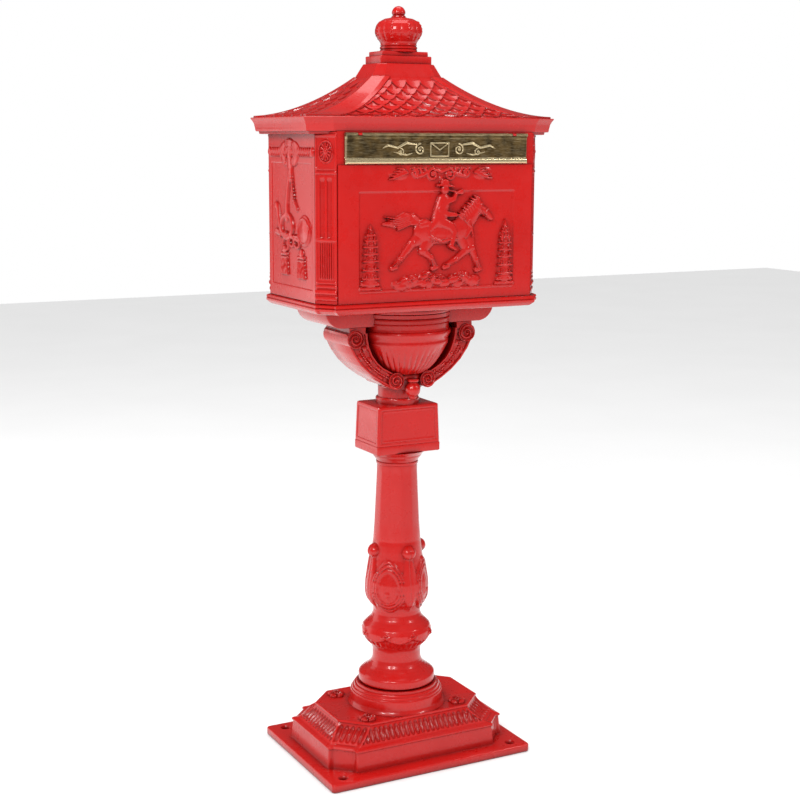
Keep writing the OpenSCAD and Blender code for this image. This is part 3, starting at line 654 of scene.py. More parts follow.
# %% Fluted bowl
t = np.linspace(0.25, 1, 60)
bowl_z = np.concatenate([[520, 526, 532, 534, 536.5, 539, 541], 538 + 45 * t ** 2,
                         [585, 588, 590.5, 594, 596.5, 598.5, 600.5, 601.5, 604, 610, 611, 612,
                          617, 619]])
bowl_r = np.concatenate([[27.5, 27.5, 27.5, 29.6, 30.2, 29.8, 28.6], 24 + 39.5 * t ** 1.1,
                         [63.6, 63, 63.6, 65.6, 66.8, 66.9, 66, 64.4, 63.9, 64.2, 65.2, 64.4, 64.6,
                          63.4]])
profile = fine_profile(list(zip(bowl_z, bowl_r)), 1.1)
z, r = profile[:, :1], profile[:, 1:]
a = np.linspace(0, 2 * np.pi, 240, endpoint=False)[None, :]
flute = 1.7 * (np.abs(np.cos(20 * a)) - 1) * smooth_step(z, 541,
                                                         545) * (1 - smooth_step(z, 562, 584))
finish(add_stack("fluted_bowl", turned(z[:, 0], r + flute, 240, (0, HEAD_Y))), "bowl")

# %% [markdown]
# Each scroll bracket is a thick curved band in outline. Its outer and inner faces are plain. The
# two broad faces carry a raised border, a sunk channel with a beaded leaf stem, and a volute at
# each end. The band is swept along the curve, and its cross-section is written as distance from
# its middle line.

# %% Scroll brackets
OUTER = np.array([(24, 521.5), (30, 524), (46, 533), (62, 544), (76, 557), (87, 572), (95, 588),
                  (97, 600)])
INNER = np.array([(22, 541), (32, 546), (43, 552), (52, 560), (59, 570), (63.5, 581), (66, 592),
                  (66.5, 600)])


def along_path(points, n):
    """n points spread evenly by length along a chain of straight pieces."""
    length = np.concatenate([[0], np.cumsum(np.hypot(*np.diff(points, axis=0).T))])
    s = np.linspace(0, length[-1], n)
    return np.stack([np.interp(s, length, points[:, 0]), np.interp(s, length, points[:, 1])], -1)


BRACKET_Y = -6        # middle of both brackets


def bracket_stacks(mirror):
    """The swept band, two volutes and the square block above, mirrored by the sign."""
    n = 150
    low, high = along_path(INNER, n), along_path(OUTER, n)
    run = np.linspace(0, 1, n)[:, None]
    w = np.concatenate([[0], np.linspace(0.02, 0.98, 44), [1]])[None, :]
    edge = np.minimum(w, 1 - w) * 26
    channel = 2.6 * smooth_step(edge, 2.8, 4.2)
    stem = 2.6 * dome(((w - 0.5) / 0.09) ** 2) * (0.7 + 0.3 * np.cos(run * 150))
    leaf = 2.2 * dome(((w - 0.5 - 0.23 * np.sign(np.sin(run * 31))) / 0.13) ** 2)
    leaf *= np.abs(np.sin(run * 31)) ** 0.8
    rise = np.where(edge > 4.0, np.maximum(stem, leaf), 0) * smooth_step(run, 0.02, 0.08)
    depth = 36 - channel + rise - 0.8 * (edge < 0.5)
    x = low[:, None, 0] * (1 - w) + high[:, None, 0] * w
    z = low[:, None, 1] * (1 - w) + high[:, None, 1] * w
    front = np.stack([x, BRACKET_Y - depth, z], -1)
    back = np.stack([x, BRACKET_Y + depth, z], -1)[:, ::-1]
    band = np.concatenate([front, back], 1)

    def volute(cx, cz, r, hand):
        """Rings of one scroll end: its front face, then its back face."""
        rho = np.linspace(0.05, 1, 30)
        a = np.linspace(0, 2 * np.pi, 72, endpoint=False)
        groove = np.cos(2 * np.pi * rho[:, None] * 2.2 + hand * a) * 1.3
        rise = np.where(rho[:, None] < 0.93, groove, 0.4) + 1.6 * (rho[:, None] < 0.24)
        face = np.stack([cx + r * rho[:, None] * np.cos(a), -43.4 - rise,
                         cz + r * rho[:, None] * np.sin(a)], -1)
        rear = face.copy()
        rear[..., 1] = 31.4 + rise
        return np.concatenate([face, rear[::-1]])

    block = [rounded_ring(12, 36, 1.0, z, 4, (81, BRACKET_Y)) for z in (599, 600, 606.5, 607.8)]
    stacks = [band, volute(84.5, 593, 12.4, 1), volute(24, 533, 11.4, -1), np.stack(block)]
    if mirror < 0:
        stacks = [s[:, ::-1] * np.array([-1, 1, 1]) for s in stacks]
    return stacks


def upward(rings):
    """Turns a stack of rings round where it doesn't run counter-clockwise along its length."""
    axis = rings[-1].mean(0) - rings[0].mean(0)
    ring = rings[len(rings) // 2] - rings[len(rings) // 2].mean(0)
    turn = np.cross(ring, np.roll(ring, -1, 0)).sum(0)
    return rings if turn @ axis > 0 else rings[:, ::-1]


for label, sign in (("left", -1), ("right", 1)):
    stacks = [upward(s) for s in bracket_stacks(sign)]
    finish(add_stack(f"{label}_bracket_casting", *stacks), f"{label}_scroll_bracket")

# %% [markdown]
# Two drops hang under the bracket feet: a turned ball on a flared stem, with a small button below.

# %% Drops, saddle and tray
drop_knots = [(508.2, 3), (508.6, 4.4), (510, 5.2), (511.4, 5.0), (512.4, 6.2), (514, 8.0),
              (517, 9.6),
              (520, 10.2), (523, 10.1), (526.5, 8.6), (529, 6.4), (530.4, 5.6), (531.6, 7.6),
              (533.4, 8),
              (535, 7)]
drop = fine_profile(drop_knots, 0.8)
drops = [turned(drop[:, 0], drop[:, 1], 64, (0, y)) for y in (-45, 33)]
finish(add_stack("hanging_drops", *drops), "drop_finials")

q = np.linspace(0, np.pi / 2, 26)
half_x = np.concatenate([[100, 102.4], 103 + 24 * np.sin(q), [127, 126.5]])
levels = np.concatenate([[608, 608.3], 631 - 23 * np.cos(q) + 0.2, [633.6, 634.2]])
levels = np.maximum.accumulate(levels)
saddle = np.stack([rounded_ring(hx, 47.4 if 608.2 < z < 634 else 46, 1.6, z, 5, (0, 5.5))
                   for hx, z in zip(half_x, levels)])
collar_knots = [(612, 62), (619, 62.6), (619.4, 65), (624, 65.4), (624.8, 64.4), (625.6, 66.4),
                (627, 67.2), (629.6, 67.4), (630.4, 66.4), (631.2, 67.6), (634, 67.9)]
collar = fine_profile(collar_knots, 0.7)
finish(add_stack("saddle_casting", saddle, turned(collar[:, 0], collar[:, 1], 160, (0, HEAD_Y))),
       "saddle")

# %% [markdown]
# The tray is a moulded shelf. Its straight lengths stand proud and end in a small S curve, and
# the lengths around the cut corners sit back, so the outline steps in and out.

# %% Floor tray
tray_knots = [(634, 158, 97, 18.5, 24.5, -12), (634.6, 160, 99, 18.5, 24.5, -12),
              (637.6, 163, 102.0, 18.5, 24.5, -12), (639, 164.4, 103.4, 18.5, 24.5, -12),
              (641.4, 164.8, 103.8, 18.5, 24.5, -12), (642.6, 163.8, 102.8, 18.5, 24.5, -12),
              (643.4, 164.6, 103.6, 18.5, 24.5, -12), (646, 164.4, 103.4, 18.5, 24.5, -12),
              (647.5, 161.4, 100.4, 18.5, 24.5, -12)]
rings, side, along, half, normal = cut_rings(fill_levels(tray_knots, 0.8), [260, 30, 180, 30] * 2)
straight = (side % 2 == 0)[None, :] * smooth_step(half - np.abs(along), 2.0, 9.0)
corner_dip = (side % 2 == 1)[None, :] * smooth_step(half - np.abs(along), 0.5, 6.0)
middle = np.exp(-((rings[..., 2] - 641) / 3.2) ** 2)
rings = rings + normal * (0.1 * straight * middle - 2.6 * corner_dip)[..., None]
rings[..., 0] = np.clip(rings[..., 0], -167.4, 167.4)
finish(add_stack("tray_moulding", rings), "floor_tray")

# %% [markdown]
# The front of the head is one panel of relief: a rider on a running horse between two towers,
# with rocks below and scrollwork above. Everything is drawn as chains of tapered bars, each
# rounded like a modelled figure, over a recess with a plain border.

# %% Front relief
picture = Relief(np.linspace(-141.5, 141.5, 402), np.linspace(PANEL_LOW, 820.6, 250))
picture.h += 1.6
picture.sink(-112, 114, 661, 787, 1.35)
bar, chain, oval, spiral = picture.bar, picture.chain, picture.oval, picture.spiral
stones = np.random.default_rng(4)
for k in range(30):
    u = -58 + 116 * k / 29 + stones.uniform(-2, 2)
    rise = 1 - abs((u + 2) / 76) ** 2
    v = 666 + stones.uniform(0, 15 * rise)
    oval(u, v, stones.uniform(6, 11), stones.uniform(5, 8), stones.uniform(2.6, 4.2), 0.3, 0.55,
         stones.uniform(-0.7, 0.7))
    chain([(u - 5, v + 2), (u, v + 4), (u + 4, v + 1)], [0.7, 1.0, 0.5], 0.8, 3.4)
bar((-112, 662.4), (114, 662.4), 1.8, 1.8, 1.4, 0.4)

for middle, top, base in ((-97, 742, 1.0), (101, 745, 0.94)):
    bar((middle - 14 * base, 666.4), (middle + 13 * base, 666.4), 2.8, 2.8, 3.0, 0.5)
    bar((middle - 11 * base, 672), (middle + 10 * base, 672), 3.4, 3.4, 3.2, 0.5)
    chain([(middle, 676), (middle, 690), (middle, 706), (middle, 720), (middle, 730),
           (middle, 737), (middle, top + 4)], [11.5 * base, 9.6 * base, 8.8 * base, 8.2 * base,
                                               7.4 * base, 4.4 * base, 0.9], 3.4, 0.5, 0.6)
    for v, wide in ((679, 11), (690, 10.4), (701, 9.6), (710, 9.2), (719, 8.8), (727, 7.6),
                    (734, 5.4)):
        bar((middle - wide * base, v), (middle + wide * base, v), 1.5, 1.5, 1.5, 3.0)
        for du in (-0.6, -0.2, 0.2, 0.6):
            bar((middle + du * wide, v + 2.4), (middle + du * wide * 0.94, v + 5.6), 0.9, 0.8, 1.0,
                3.6)
    for du in (-5.4, 5.4):
        chain([(middle + du, 724), (middle + du * 0.8, 734)], [2.0, 0.6], 2.2, 2.6)

horse_base = 1.6
chain([(-24, 745), (-36, 752), (-48, 754), (-60, 748), (-79, 747)], [5, 7.5, 7.6, 7.0, 2.0], 2.4,
      0.8)
for k in range(6):
    lift = 5.2 - 2.2 * k
    chain([(-26, 746), (-42, 752 + lift), (-58, 747 + 1.2 * lift),
           (-78 + 4 * k, 748 + 1.5 * lift)], [1.2, 1.6, 1.5, 0.6], 1.4, 2.4)
for a, b, c, d in (((-18, 733), (-37, 722), (-54, 703), (-63, 693)),
                   ((-14, 728), (-22, 712), (-10, 703), (-5, 692)),
                   ((42, 732), (50, 714), (57, 698), (61, 687)),
                   ((36, 730), (43, 712), (27, 700), (14, 693))):
    chain([a, b], [12.5, 6.6], 3.2, 0.8)
    chain([b, c], [6.0, 4.0], 3.2, 0.8)
    chain([c, d], [4.2, 3.4], 3.0, 0.8)
    oval(*b, 6.4, 6.4, 3.8, 0.8)
    oval(*c, 4.6, 4.6, 3.8, 0.8)
    for k in range(3):
        chain([(c[0] - 2 + 2 * k, c[1] - 1), (d[0] - 4 + 3 * k, d[1] + 1)], [0.7, 0.6], 0.9, 3.4)
for u, v in ((-64, 691), (-5, 689), (60, 685), (12, 690)):
    bar((u - 2.5, v), (u + 3.5, v + 1), 3.8, 2.8, 3.2, 1.0)
for stroke in (
    ([(-20, 737), (-6, 734), (14, 733), (36, 739)], [15.5, 14, 13.5, 15], 3.6, horse_base),
    ([(-26, 744), (-16, 746), (-8, 738)], [3, 3.4, 2], 1.0, 4.4),
    ([(44, 748), (46, 738), (40, 728)], [3, 3.6, 2], 1.0, 4.4),
    ([(-14, 748), (-15, 731), (4, 723), (26, 727)], [1.4, 1.6, 1.6, 1.4], 1.3, 4.6),
):
    chain(*stroke)
for k in range(9):
    chain([(-13 + 4.4 * k, 729 - 0.5 * abs(4 - k) + k * 0.1),
           (-13 + 4.4 * k, 722 + 0.9 * abs(4 - k) * 0.5)], [1.1, 0.8], 1.0, 4.2)
for stroke in (
    ([(36, 752), (48, 741), (50, 729)], [1.1, 1.3, 1.1], 1.0, 5.0),
    ([(38, 743), (48, 753), (58, 764)], [13, 10, 7.6], 3.2, horse_base),
    ([(58, 766), (68, 761), (77, 753)], [7.4, 5.8, 4.2], 3.4, horse_base),
):
    chain(*stroke)
oval(60, 768, 4, 3.6, 1.2, 4.0)
bar((77, 753), (79, 751), 3.4, 2.6, 3.0, 1.8)
chain([(33, 750), (44, 764), (57, 776)], [7.5, 7.0, 4.5], 2.2, 1.2)
for k in range(9):
    u, v = 34 + 2.9 * k, 752 + 3.0 * k
    chain([(u + 4, v - 5), (u, v + 2), (u - 5 - 2 * (k % 2), v + 5)], [3.2, 2.6, 0.9], 1.5, 3.2,
          0.8)
for stroke in (
    ([(58, 772), (60, 779)], [2.2, 0.6], 2.2, 2.6),
    ([(63, 772), (61, 764), (66, 755)], [0.9, 0.9, 0.9], 0.9, 5.0),
    ([(72, 764), (69, 754)], [0.9, 0.9], 0.9, 4.8),
    ([(68, 758), (48, 757), (24, 757)], [0.9, 0.9, 0.9], 0.9, 3.6),
    ([(-12, 748), (-6, 728), (0, 726), (10, 728), (14, 746)], [2.0, 1.6, 1.6, 1.6, 2.0], 1.3, 4.0),
):
    chain(*stroke)

for stroke in (
    ([(2, 750), (4, 762), (8, 776)], [11.5, 10.2, 9.4], 4.2, 2.0),
    ([(0, 752), (-8, 744), (-13, 738)], [8, 5.4, 2.2], 3.0, 2.8),
    ([(5, 748), (17, 743), (23, 735), (18, 717)], [7.2, 6.4, 4.6, 3.4], 3.8, 3.0),
    ([(17, 718), (24, 713)], [3.4, 2.4], 3.4, 3.0),
    ([(9, 773), (2, 764), (12, 758), (24, 757)], [5.0, 4.2, 3.6, 2.8], 3.2, 4.0),
    ([(12, 775), (21, 777), (24, 783)], [4.6, 3.4, 2.6], 3.0, 3.8),
    ([(15, 788), (20, 787), (27, 785), (33, 786)], [1.0, 1.3, 2.0, 3.6], 2.4, 3.4),
):
    chain(*stroke)
oval(9, 789.6, 6.2, 6.8, 4.0, 2.4)
chain([(13.2, 789.6), (14.6, 788.6)], [1.2, 0.8], 1.6, 3.6)
chain([(-3, 795), (9, 795.2), (21, 793)], [1.5, 2.4, 1.4], 3.4, 3.2)
oval(8.4, 798.0, 7.2, 5.0, 4.2, 2.6)
for k in range(4):
    chain([(1 + 3 * k, 771 - k), (2 + 2.4 * k, 758 - k)], [0.8, 0.8], 0.7, 5.2)

for hand in (-1, 1):
    spiral(4 + hand * 12, 808.4, 8.0, 1.4, math.pi / 2, -hand, 2.4, 2.2, 1.4)
    chain([(4 + hand * 18, 812), (4 + hand * 27, 808), (4 + hand * 36, 806), (4 + hand * 42, 811)],
          [2.4, 3.0, 2.6, 1.6], 2.2, 1.4)
    spiral(4 + hand * 36, 811, 5.6, 1.2, -math.pi / 2, hand, 1.8, 1.9, 1.4)
    oval(4 + hand * 62, 810, 15, 7.8, 1.6, 1.2, 0.5, hand * 0.16)
    for k in range(5):
        chain([(4 + hand * 48, 811), (4 + hand * (57 + 3 * k), 816 - 3.0 * k),
               (4 + hand * (66 + 2.4 * k), 816.5 - 3.4 * k)], [1.0, 1.6, 0.6], 1.2, 2.6)
    for k in range(3):
        u = 4 + hand * (20 + 8 * k)
        chain([(u, 811), (u + hand * 3, 817), (u + hand * 8, 816)], [2.4, 2.0, 0.7], 2.0, 1.4)
chain([(-9, 816), (4, 812), (17, 816)], [1.8, 2.8, 1.8], 2.2, 1.5)
oval(4, 804, 3.2, 3.6, 2.2, 1.4)
picture.h = np.clip(np.where(picture.h > 2.2, 2.2 + 1.2 * (picture.h - 2.2), picture.h), 0.12, 6.9)
front = panel_points(picture, (0, FRONT_Y, 0), (1, 0, 0), (0, -1, 0))
finish(add_slab("front_relief", front, (0, -1, 0), 2.5),
       "rider_relief", "tower_reliefs", "crest_relief")

# %% [markdown]
# Each side wall has the same post horn in relief, hung from a twisted rod by a ribbon bow, with
# a satchel, a bell and two tassels. The right wall is the mirror image of the left, so the
# drawing is made once in the wall's own depth and used with either sign.

# %% Side walls
def wall_relief(hand):
    """Relief of one side wall. Places are given by y; hand turns y into the grid's u."""
    lo, hi = -84.3, 60.3
    u = np.linspace(*sorted((hand * lo, hand * hi)), 196)
    art = Relief(u, np.linspace(PANEL_LOW, PANEL_HIGH, 290))
    art.h += 1.0
    art.sink(*sorted((hand * -76, hand * 51)), 664, 822, 1.3, 1.0)

    def chain(points, radii, height, base=0.0, power=0.5):
        art.chain([(hand * y, z) for y, z in points], radii, height, base, power)

    chain([(-78, 836), (54, 836)], [4.4, 4.4], 2.6, 0.6)
    for k in range(22):
        y = -74 + 5.9 * k
        chain([(y - 2.6, 831.6), (y + 2.6, 840.2)], [1.6, 1.6], 1.1, 2.6)
    for y in (-79, 54):
        art.oval(hand * y, 836, 5.4, 6.4, 3.4, 1.0)

    for y, z, ry, rz, tilt in ((-30, 840, 15, 8, 0.5), (12, 840, 15, 8, -0.5),
                               (-9, 848, 13, 5.5, 0.0),
                               (-27, 828, 13, 7.5, -0.7), (9, 828, 13, 7.5, 0.7),
                               (-9, 838, 10, 9, 0.0),
                               (-9, 823, 9, 12, 0.0)):
        art.oval(hand * y, z, ry, rz, 2.3, 1.2, 0.5, hand * tilt)
        for k in (-1, 0, 1):
            c, q = math.cos(tilt), math.sin(tilt)
            chain([(y - 0.7 * ry * c - k * 2 * q, z - 0.7 * ry * q + k * 2.4),
                   (y + 0.7 * ry * c - k * 2 * q, z + 0.7 * ry * q + k * 2.4)], [0.7, 1.1], 0.7,
                   2.8)
    art.oval(hand * -9, 833, 6, 5.4, 1.5, 2.5)
    chain([(-9, 822), (-10, 810), (-11, 800)], [8.4, 7.0, 3.4], 2.4, 0.6, 0.6)

    chain([(-8, 812), (-2, 792), (3, 770), (3, 752)], [4.4, 4.6, 5.4, 6.4], 2.6, 0.4)
    chain([(-13, 812), (-17, 792), (-20, 776), (-30, 764)], [3.4, 3.0, 3.2, 3.4], 2.4, 0.4)
    for k in range(9):
        y, z = -14 - 1.2 * k, 806 - 4.4 * k
        chain([(y - 2.6, z), (y + 2.6, z)], [0.7, 0.7], 0.7, 2.6)

    t = np.linspace(0, 1, 48)
    angle = 1.9 + t * 2 * np.pi * 0.92
    chain(list(zip(2 + 18 * np.cos(angle), 741 + 15 * np.sin(angle))), 3.4 + 0.9 * t, 3.0, 0.5)
    chain([(22, 734), (27, 748), (33, 764)], [3.4, 4.6, 6.6], 3.0, 0.5)
    art.oval(hand * 34, 766, 7.6, 5.0, 3.4, 0.5, 0.5, hand * 0.5)
    chain([(36, 733), (14, 730), (-12, 728), (-36, 724)], [4.4, 3.6, 3.4, 3.0], 2.9, 0.6)
    for y, z in ((20, 731), (4, 729), (-10, 728), (-24, 726)):
        chain([(y, z - 4.6), (y, z + 4.6)], [1.3, 1.3], 1.0, 2.8)

    art.oval(hand * -52, 737, 20, 20, 2.6, 0.5, 0.4, hand * 0.2)
    art.ring(hand * -52, 737, 16, 16, 2.2, 1.1, 2.4)
    art.oval(hand * -53, 738, 11, 11, 1.5, 2.3, 0.6)
    for y, z, r in ((5, 718, 9), (-31, 722, 8), (-14, 722, 7)):
        art.ring(hand * y, z, r, r * 0.9, 4.2, 2.6, 0.5)

    for y, z, wide in ((10, 706, 1.0), (-43, 704, 1.1)):
        art.oval(hand * y, z + 4, 7 * wide, 6, 3.0, 0.5)
        chain([(y - 8 * wide, z - 1), (y + 8 * wide, z - 1)], [2.6, 2.6], 3.0, 0.6)
        chain([(y - 8.6 * wide, z - 5.4), (y + 8.6 * wide, z - 5.4)], [1.6, 1.6], 2.6, 0.6)
        for k in range(-4, 5):
            chain([(y + 1.9 * k * wide, z - 7), (y + 2.5 * k * wide, z - 27)], [1.4, 1.8], 2.6,
                  0.5)
    art.h = np.clip(art.h, 0.0, 3.9)
    return art


for label, hand in (("left", -1), ("right", 1)):
    front = panel_points(wall_relief(hand), (hand * WALL_X, 0, 0), (0, hand, 0), (hand, 0, 0))
    finish(add_slab(f"{label}_wall_casting", front, (hand, 0, 0), 3.4),
           f"{label}_side_panel", f"{label}_horn_relief")

# %% [markdown]
# The four slanted corner posts carry an oval rosette on top, two sunk flutes, then fine double
# reeds, and a moulded foot. All four are the same casting turned and mirrored.

# %% Corner posts
POST_WIDE = math.hypot(18.5, 24.5)


def post_relief():
    """Relief of one slanted post face, u from its middle."""
    art = Relief(np.linspace(-POST_WIDE / 2, POST_WIDE / 2, 80),
                 np.linspace(PANEL_LOW, PANEL_HIGH, 300))
    art.h += 1.2
    for side in (-1, 1):
        art.bar((side * 13.7, 662), (side * 13.7, 858), 1.5, 1.5, 0.9, 1.0)
    u, v = np.meshgrid(art.u, art.v)
    in_flutes = smooth_step(v, 728, 732) * (1 - smooth_step(v, 800, 806))
    in_reeds = smooth_step(v, 678, 681) * (1 - smooth_step(v, 724, 727))
    flute = dome(((np.abs(u) - 5.0) / 3.6) ** 2)
    art.h -= 1.9 * flute * in_flutes
    reed = np.abs(np.cos(np.pi * u / 3.1))
    art.h += (1.5 * reed - 0.9) * in_reeds * (np.abs(u) < 10.6)
    for v0, r, lift in ((655, 3.0, 1.6), (663, 3.4, 2.4), (670, 2.2, 1.6), (675, 1.6, 1.4),
                        (728, 1.6, 1.3), (811, 2.0, 1.8), (816, 1.3, 1.2), (857, 2.2, 1.6)):
        art.bar((-13.4, v0), (13.4, v0), r, r, lift, 1.0)
    art.ring(0, 837, 9.6, 13.4, 2.0, 1.4, 1.2)
    for k in range(12):
        a = 2 * np.pi * k / 12
        art.bar((2.4 * math.cos(a), 837 + 3.2 * math.sin(a)),
                (6.8 * math.cos(a), 837 + 10.2 * math.sin(a)),
                1.0, 1.5, 1.6, 1.2)
    art.oval(0, 837, 2.8, 3.4, 2.8, 1.2)
    return art


art = post_relief()
for front_back, fb in (("front", -1), ("back", 1)):
    for label, lr in (("left", -1), ("right", 1)):
        a = np.array([lr * 142.0, HEAD_Y + fb * 97.0, 0])
        b = np.array([lr * WALL_X, HEAD_Y + fb * 72.5, 0])
        start, end = (a, b) if lr * fb < 0 else (b, a)
        across = (end - start) / POST_WIDE
        normal = np.cross(across, (0, 0, 1.0))
        face = panel_points(art, (start + end) / 2 - normal * 0.2, across, normal)
        finish(add_slab(f"post_casting_{front_back}_{label}", face, normal, 5.0),
               f"post_{front_back}_{label}")

# %% [markdown]
# The flap is a brass plate with a polished lower lip. In the middle it carries a raised envelope
# between two scrolls, worn bright. Small notches at the top clear the two hinge eyes.

# %% Brass letter flap
flap = Relief(np.linspace(-132, 132, 530), np.linspace(821.6, 856.6, 80))
u, v = np.meshgrid(flap.u, flap.v)
flap.h += 4.2
edge = np.minimum(132 - np.abs(u), v - 821.5)
flap.h -= 2.2 * (1 - smooth_step(edge, 0.0, 1.6))
flap.h += 0.9 * dome(((v - 825) / 3.2) ** 2)
flap.h -= 0.8 * smooth_step(v, 828.2, 829.6) * (1 - smooth_step(v, 852.5, 855))
for hand in (-1, 1):
    flap.bar((-13 * hand, 831.6), (-13 * hand, 848), 0.9, 0.9, 1.1, 4.0)
    flap.bar((-13 * hand, 848), (0, 839.2), 0.8, 0.8, 1.2, 4.0)
    flap.spiral(hand * 28, 840, 7.2, 1.5, math.pi / 2, -hand, 1.3, 1.2, 3.9)
    flap.chain([(hand * 34, 846), (hand * 48, 848), (hand * 60, 842), (hand * 74, 845),
                (hand * 82, 841)],
               [1.2, 1.9, 1.5, 1.6, 0.5], 1.3, 3.9)
    flap.spiral(hand * 56, 836.6, 4.6, 1.3, math.pi / 2, hand, 1.1, 1.1, 3.9)
    flap.chain([(hand * 40, 835), (hand * 48, 833), (hand * 66, 836.4)], [0.7, 1.3, 0.6], 1.1, 3.9)
flap.bar((-13, 831.6), (13, 831.6), 0.9, 0.9, 1.1, 4.0)
flap.bar((-13, 848), (13, 848), 0.9, 0.9, 1.1, 4.0)
raised = smooth_step(flap.h, 4.3, 4.9)
worn = np.clip(0.75 * (v < 829.2) + 0.6 * raised * (np.abs(u) < 84) + 0.5
               * (1 - smooth_step(edge, 0.5, 2.4)), 0, 1)
flap.h = np.clip(flap.h, 0.4, 5.9)
front = panel_points(flap, (0, -109.6, 0), (1, 0, 0), (0, -1, 0))
letter_flap = add_slab("brass_flap", front, (0, -1, 0), flap.h[0, 0])
barrel = turned(np.linspace(-132, 132, 200), np.full(200, 2.28), 28)
barrel = np.stack([barrel[..., 2], -111.7 + barrel[..., 0], 858.3 + barrel[..., 1]], -1)
for x in (-112, 112):
    notch = np.abs(barrel[..., 0].mean(1) - x) < 3.3
    barrel[notch, :, 1] = -111.7 + (barrel[notch, :, 1] + 111.7) * 0.55
    barrel[notch, :, 2] = 858.3 + (barrel[notch, :, 2] - 858.3) * 0.55
sleeve = add_stack("flap_sleeve", barrel)
for piece, values in ((letter_flap, worn.ravel()), (sleeve, np.array([]))):
    layer = piece.data.attributes.new("worn", "FLOAT", "POINT")
    numbers = np.full(len(piece.data.vertices), 0.15)
    numbers[:len(values)] = values
    layer.data.foreach_set("value", numbers.astype(np.float32))
finish(letter_flap, "letter_flap", slot="aged_brass", body="flap")
finish(sleeve, slot="aged_brass", body="flap")

# %% [markdown]
# The roof sweeps up in a hollow curve. Each of its four fields is covered in fish-scale tiles in
# seven staggered rows that shrink toward the top; smooth raised bands cover the four hips.

# %% Roof
SLOPE_POWER = 1.85
# Levels are (z, half width, half depth, cut along x, cut along y, middle in y), in millimetres
fascia = [(858.6, 170, 90, 30, 13, -12), (859, 172, 92, 30, 13, -12),
          (862, 172.5, 92.5, 30, 13, -12),
          (862.2, 176.4, 94.6, 31, 13.5, -13), (863.6, 177.0, 95, 31, 13.5, -13),
          (866, 177.2, 95.4, 31, 13.5, -13), (872, 178.4, 96.6, 31.4, 13.8, -13),
          (876, 180.2, 98.4, 32, 14, -13), (878, 181.6, 99.6, 32, 14, -13),
          (879.4, 182, 100, 32, 14, -13),
          (880, 181.4, 99.4, 32, 14, -13)]
t = np.linspace(0.0, 1, 130)[1:]
slope = np.stack([880 + 51 * t ** SLOPE_POWER, 182 - 129 * t, 100 - 65 * t, 32 - 18 * t,
                  14 - 6 * t,
                  -13 + 13 * t], -1)
slope[:, 1:3] -= 0.6
crown_knots = [(931.6, 52, 34, 14, 8, 0), (932.5, 51.6, 33.6, 14, 8, 0),
               (948.5, 42.6, 27.6, 11, 6.6, 0),
               (949.8, 41.8, 26.8, 11, 6.6, 0)]
levels = np.vstack([fill_levels(fascia, 1.2), slope, fill_levels(crown_knots, 1.2)])
rings, side, along, half, normal = cut_rings(levels, [420, 60, 260, 60] * 2)
height = rings[..., 2]
t = np.clip((height - 880) / 51, 0, 1) ** (1 / SLOPE_POWER)
depth_t = np.clip(t, 0, 0.999)
row_edges = np.array([0.075, 0.22, 0.36, 0.49, 0.61, 0.72, 0.83, 0.955])
row = np.clip(np.searchsorted(row_edges, depth_t) - 1, 0, 6)
local = (depth_t - row_edges[row]) / (row_edges[row + 1] - row_edges[row])
pitch = 29.5 * (1 - 0.32 * depth_t)
cell = (along / pitch + 0.5 * (row % 2) + 0.5) % 1.0 - 0.5
arch = 0.78 * np.abs(cell / 0.5) ** 2.2
below = local < arch
rise = np.where(below, 0.30 - 0.4 * (arch - local), 1 - 0.62 * (local - arch))
gap = 0.5 * smooth_step(np.abs(cell), 0.455, 0.5) * (local > arch)
tiles = 2.3 * rise - 0.8 * gap
on_roof = (height > 880.05) & (height < 931.2) & (side % 2 == 0)[None, :]
field = np.where(on_roof, tiles, 0) * ((depth_t > row_edges[0]) & (depth_t < row_edges[-1]))
hip = 1 - smooth_step(half - np.abs(along), 7.5, 9.0)
band = 2.4 * np.where((side % 2 == 1)[None, :], 1.0, hip) * ((height > 880.05) & (height < 931.2))
up_out = normal * 0.35 + np.array([0, 0, 0.94])
rings = rings + up_out * (np.maximum(field * (1 - hip), band))[..., None]
finish(add_stack("tiled_roof", rings, sharp_degrees=32), "roof")

# %% [markdown]
# The finial is a stepped block, a ringed drum and a lobed crown like a small pumpkin, with a
# button tip. Beads run down the ribs between the lobes.

# %% Finial
low_block = rounded_block(37.8, 22.8, 1.5, 949.6, 960, 0.9)
top_block = rounded_block(34, 20, 1.5, 959.6, 966, 1.2)
crown = fine_profile([(965, 23.4), (966.2, 24.7), (968, 24.7), (969, 23.6), (970, 24.7),
                      (972, 24.7),
                      (973, 23.4), (974, 24.2), (976, 23.6), (978.6, 24.6), (981.5, 27),
                      (985, 29.3),
                      (989, 31.3), (993, 31.8), (997, 31), (1001, 29.5), (1004.6, 26.5),
                      (1008.4, 18.8),
                      (1009.6, 12), (1010.6, 9.4), (1012, 9.2), (1013, 7.6), (1014.2, 8.4),
                      (1016, 9.0),
                      (1018, 8.8), (1020, 8.0), (1022.4, 6.4), (1024, 4.2), (1024.9, 1.2)], 0.7)
z, r = crown[:, :1], crown[:, 1:]
a = np.linspace(0, 2 * np.pi, 240, endpoint=False)[None, :]
on_crown = smooth_step(z, 978, 983) * (1 - smooth_step(z, 1005, 1009))
lobes = 1.2 * (np.abs(np.cos(4 * a)) ** 0.6 - 1) * on_crown
rib = np.exp(-((((a / (np.pi / 4) + 0.5) % 1.0) - 0.5) / 0.055) ** 2)
beads = 2.0 * rib * (0.55 + 0.45 * np.cos(z * 2 * np.pi / 4.2)) * on_crown
finish(add_stack("crown_finial", low_block, top_block,
                 turned(z[:, 0], r + lobes + beads * 0.8, 240)), "finial")

# %% [markdown]
# The collecting door at the back is a flat casting with a raised border, pierced only by the
# lock. It swings with its joint, so it rides on the door.

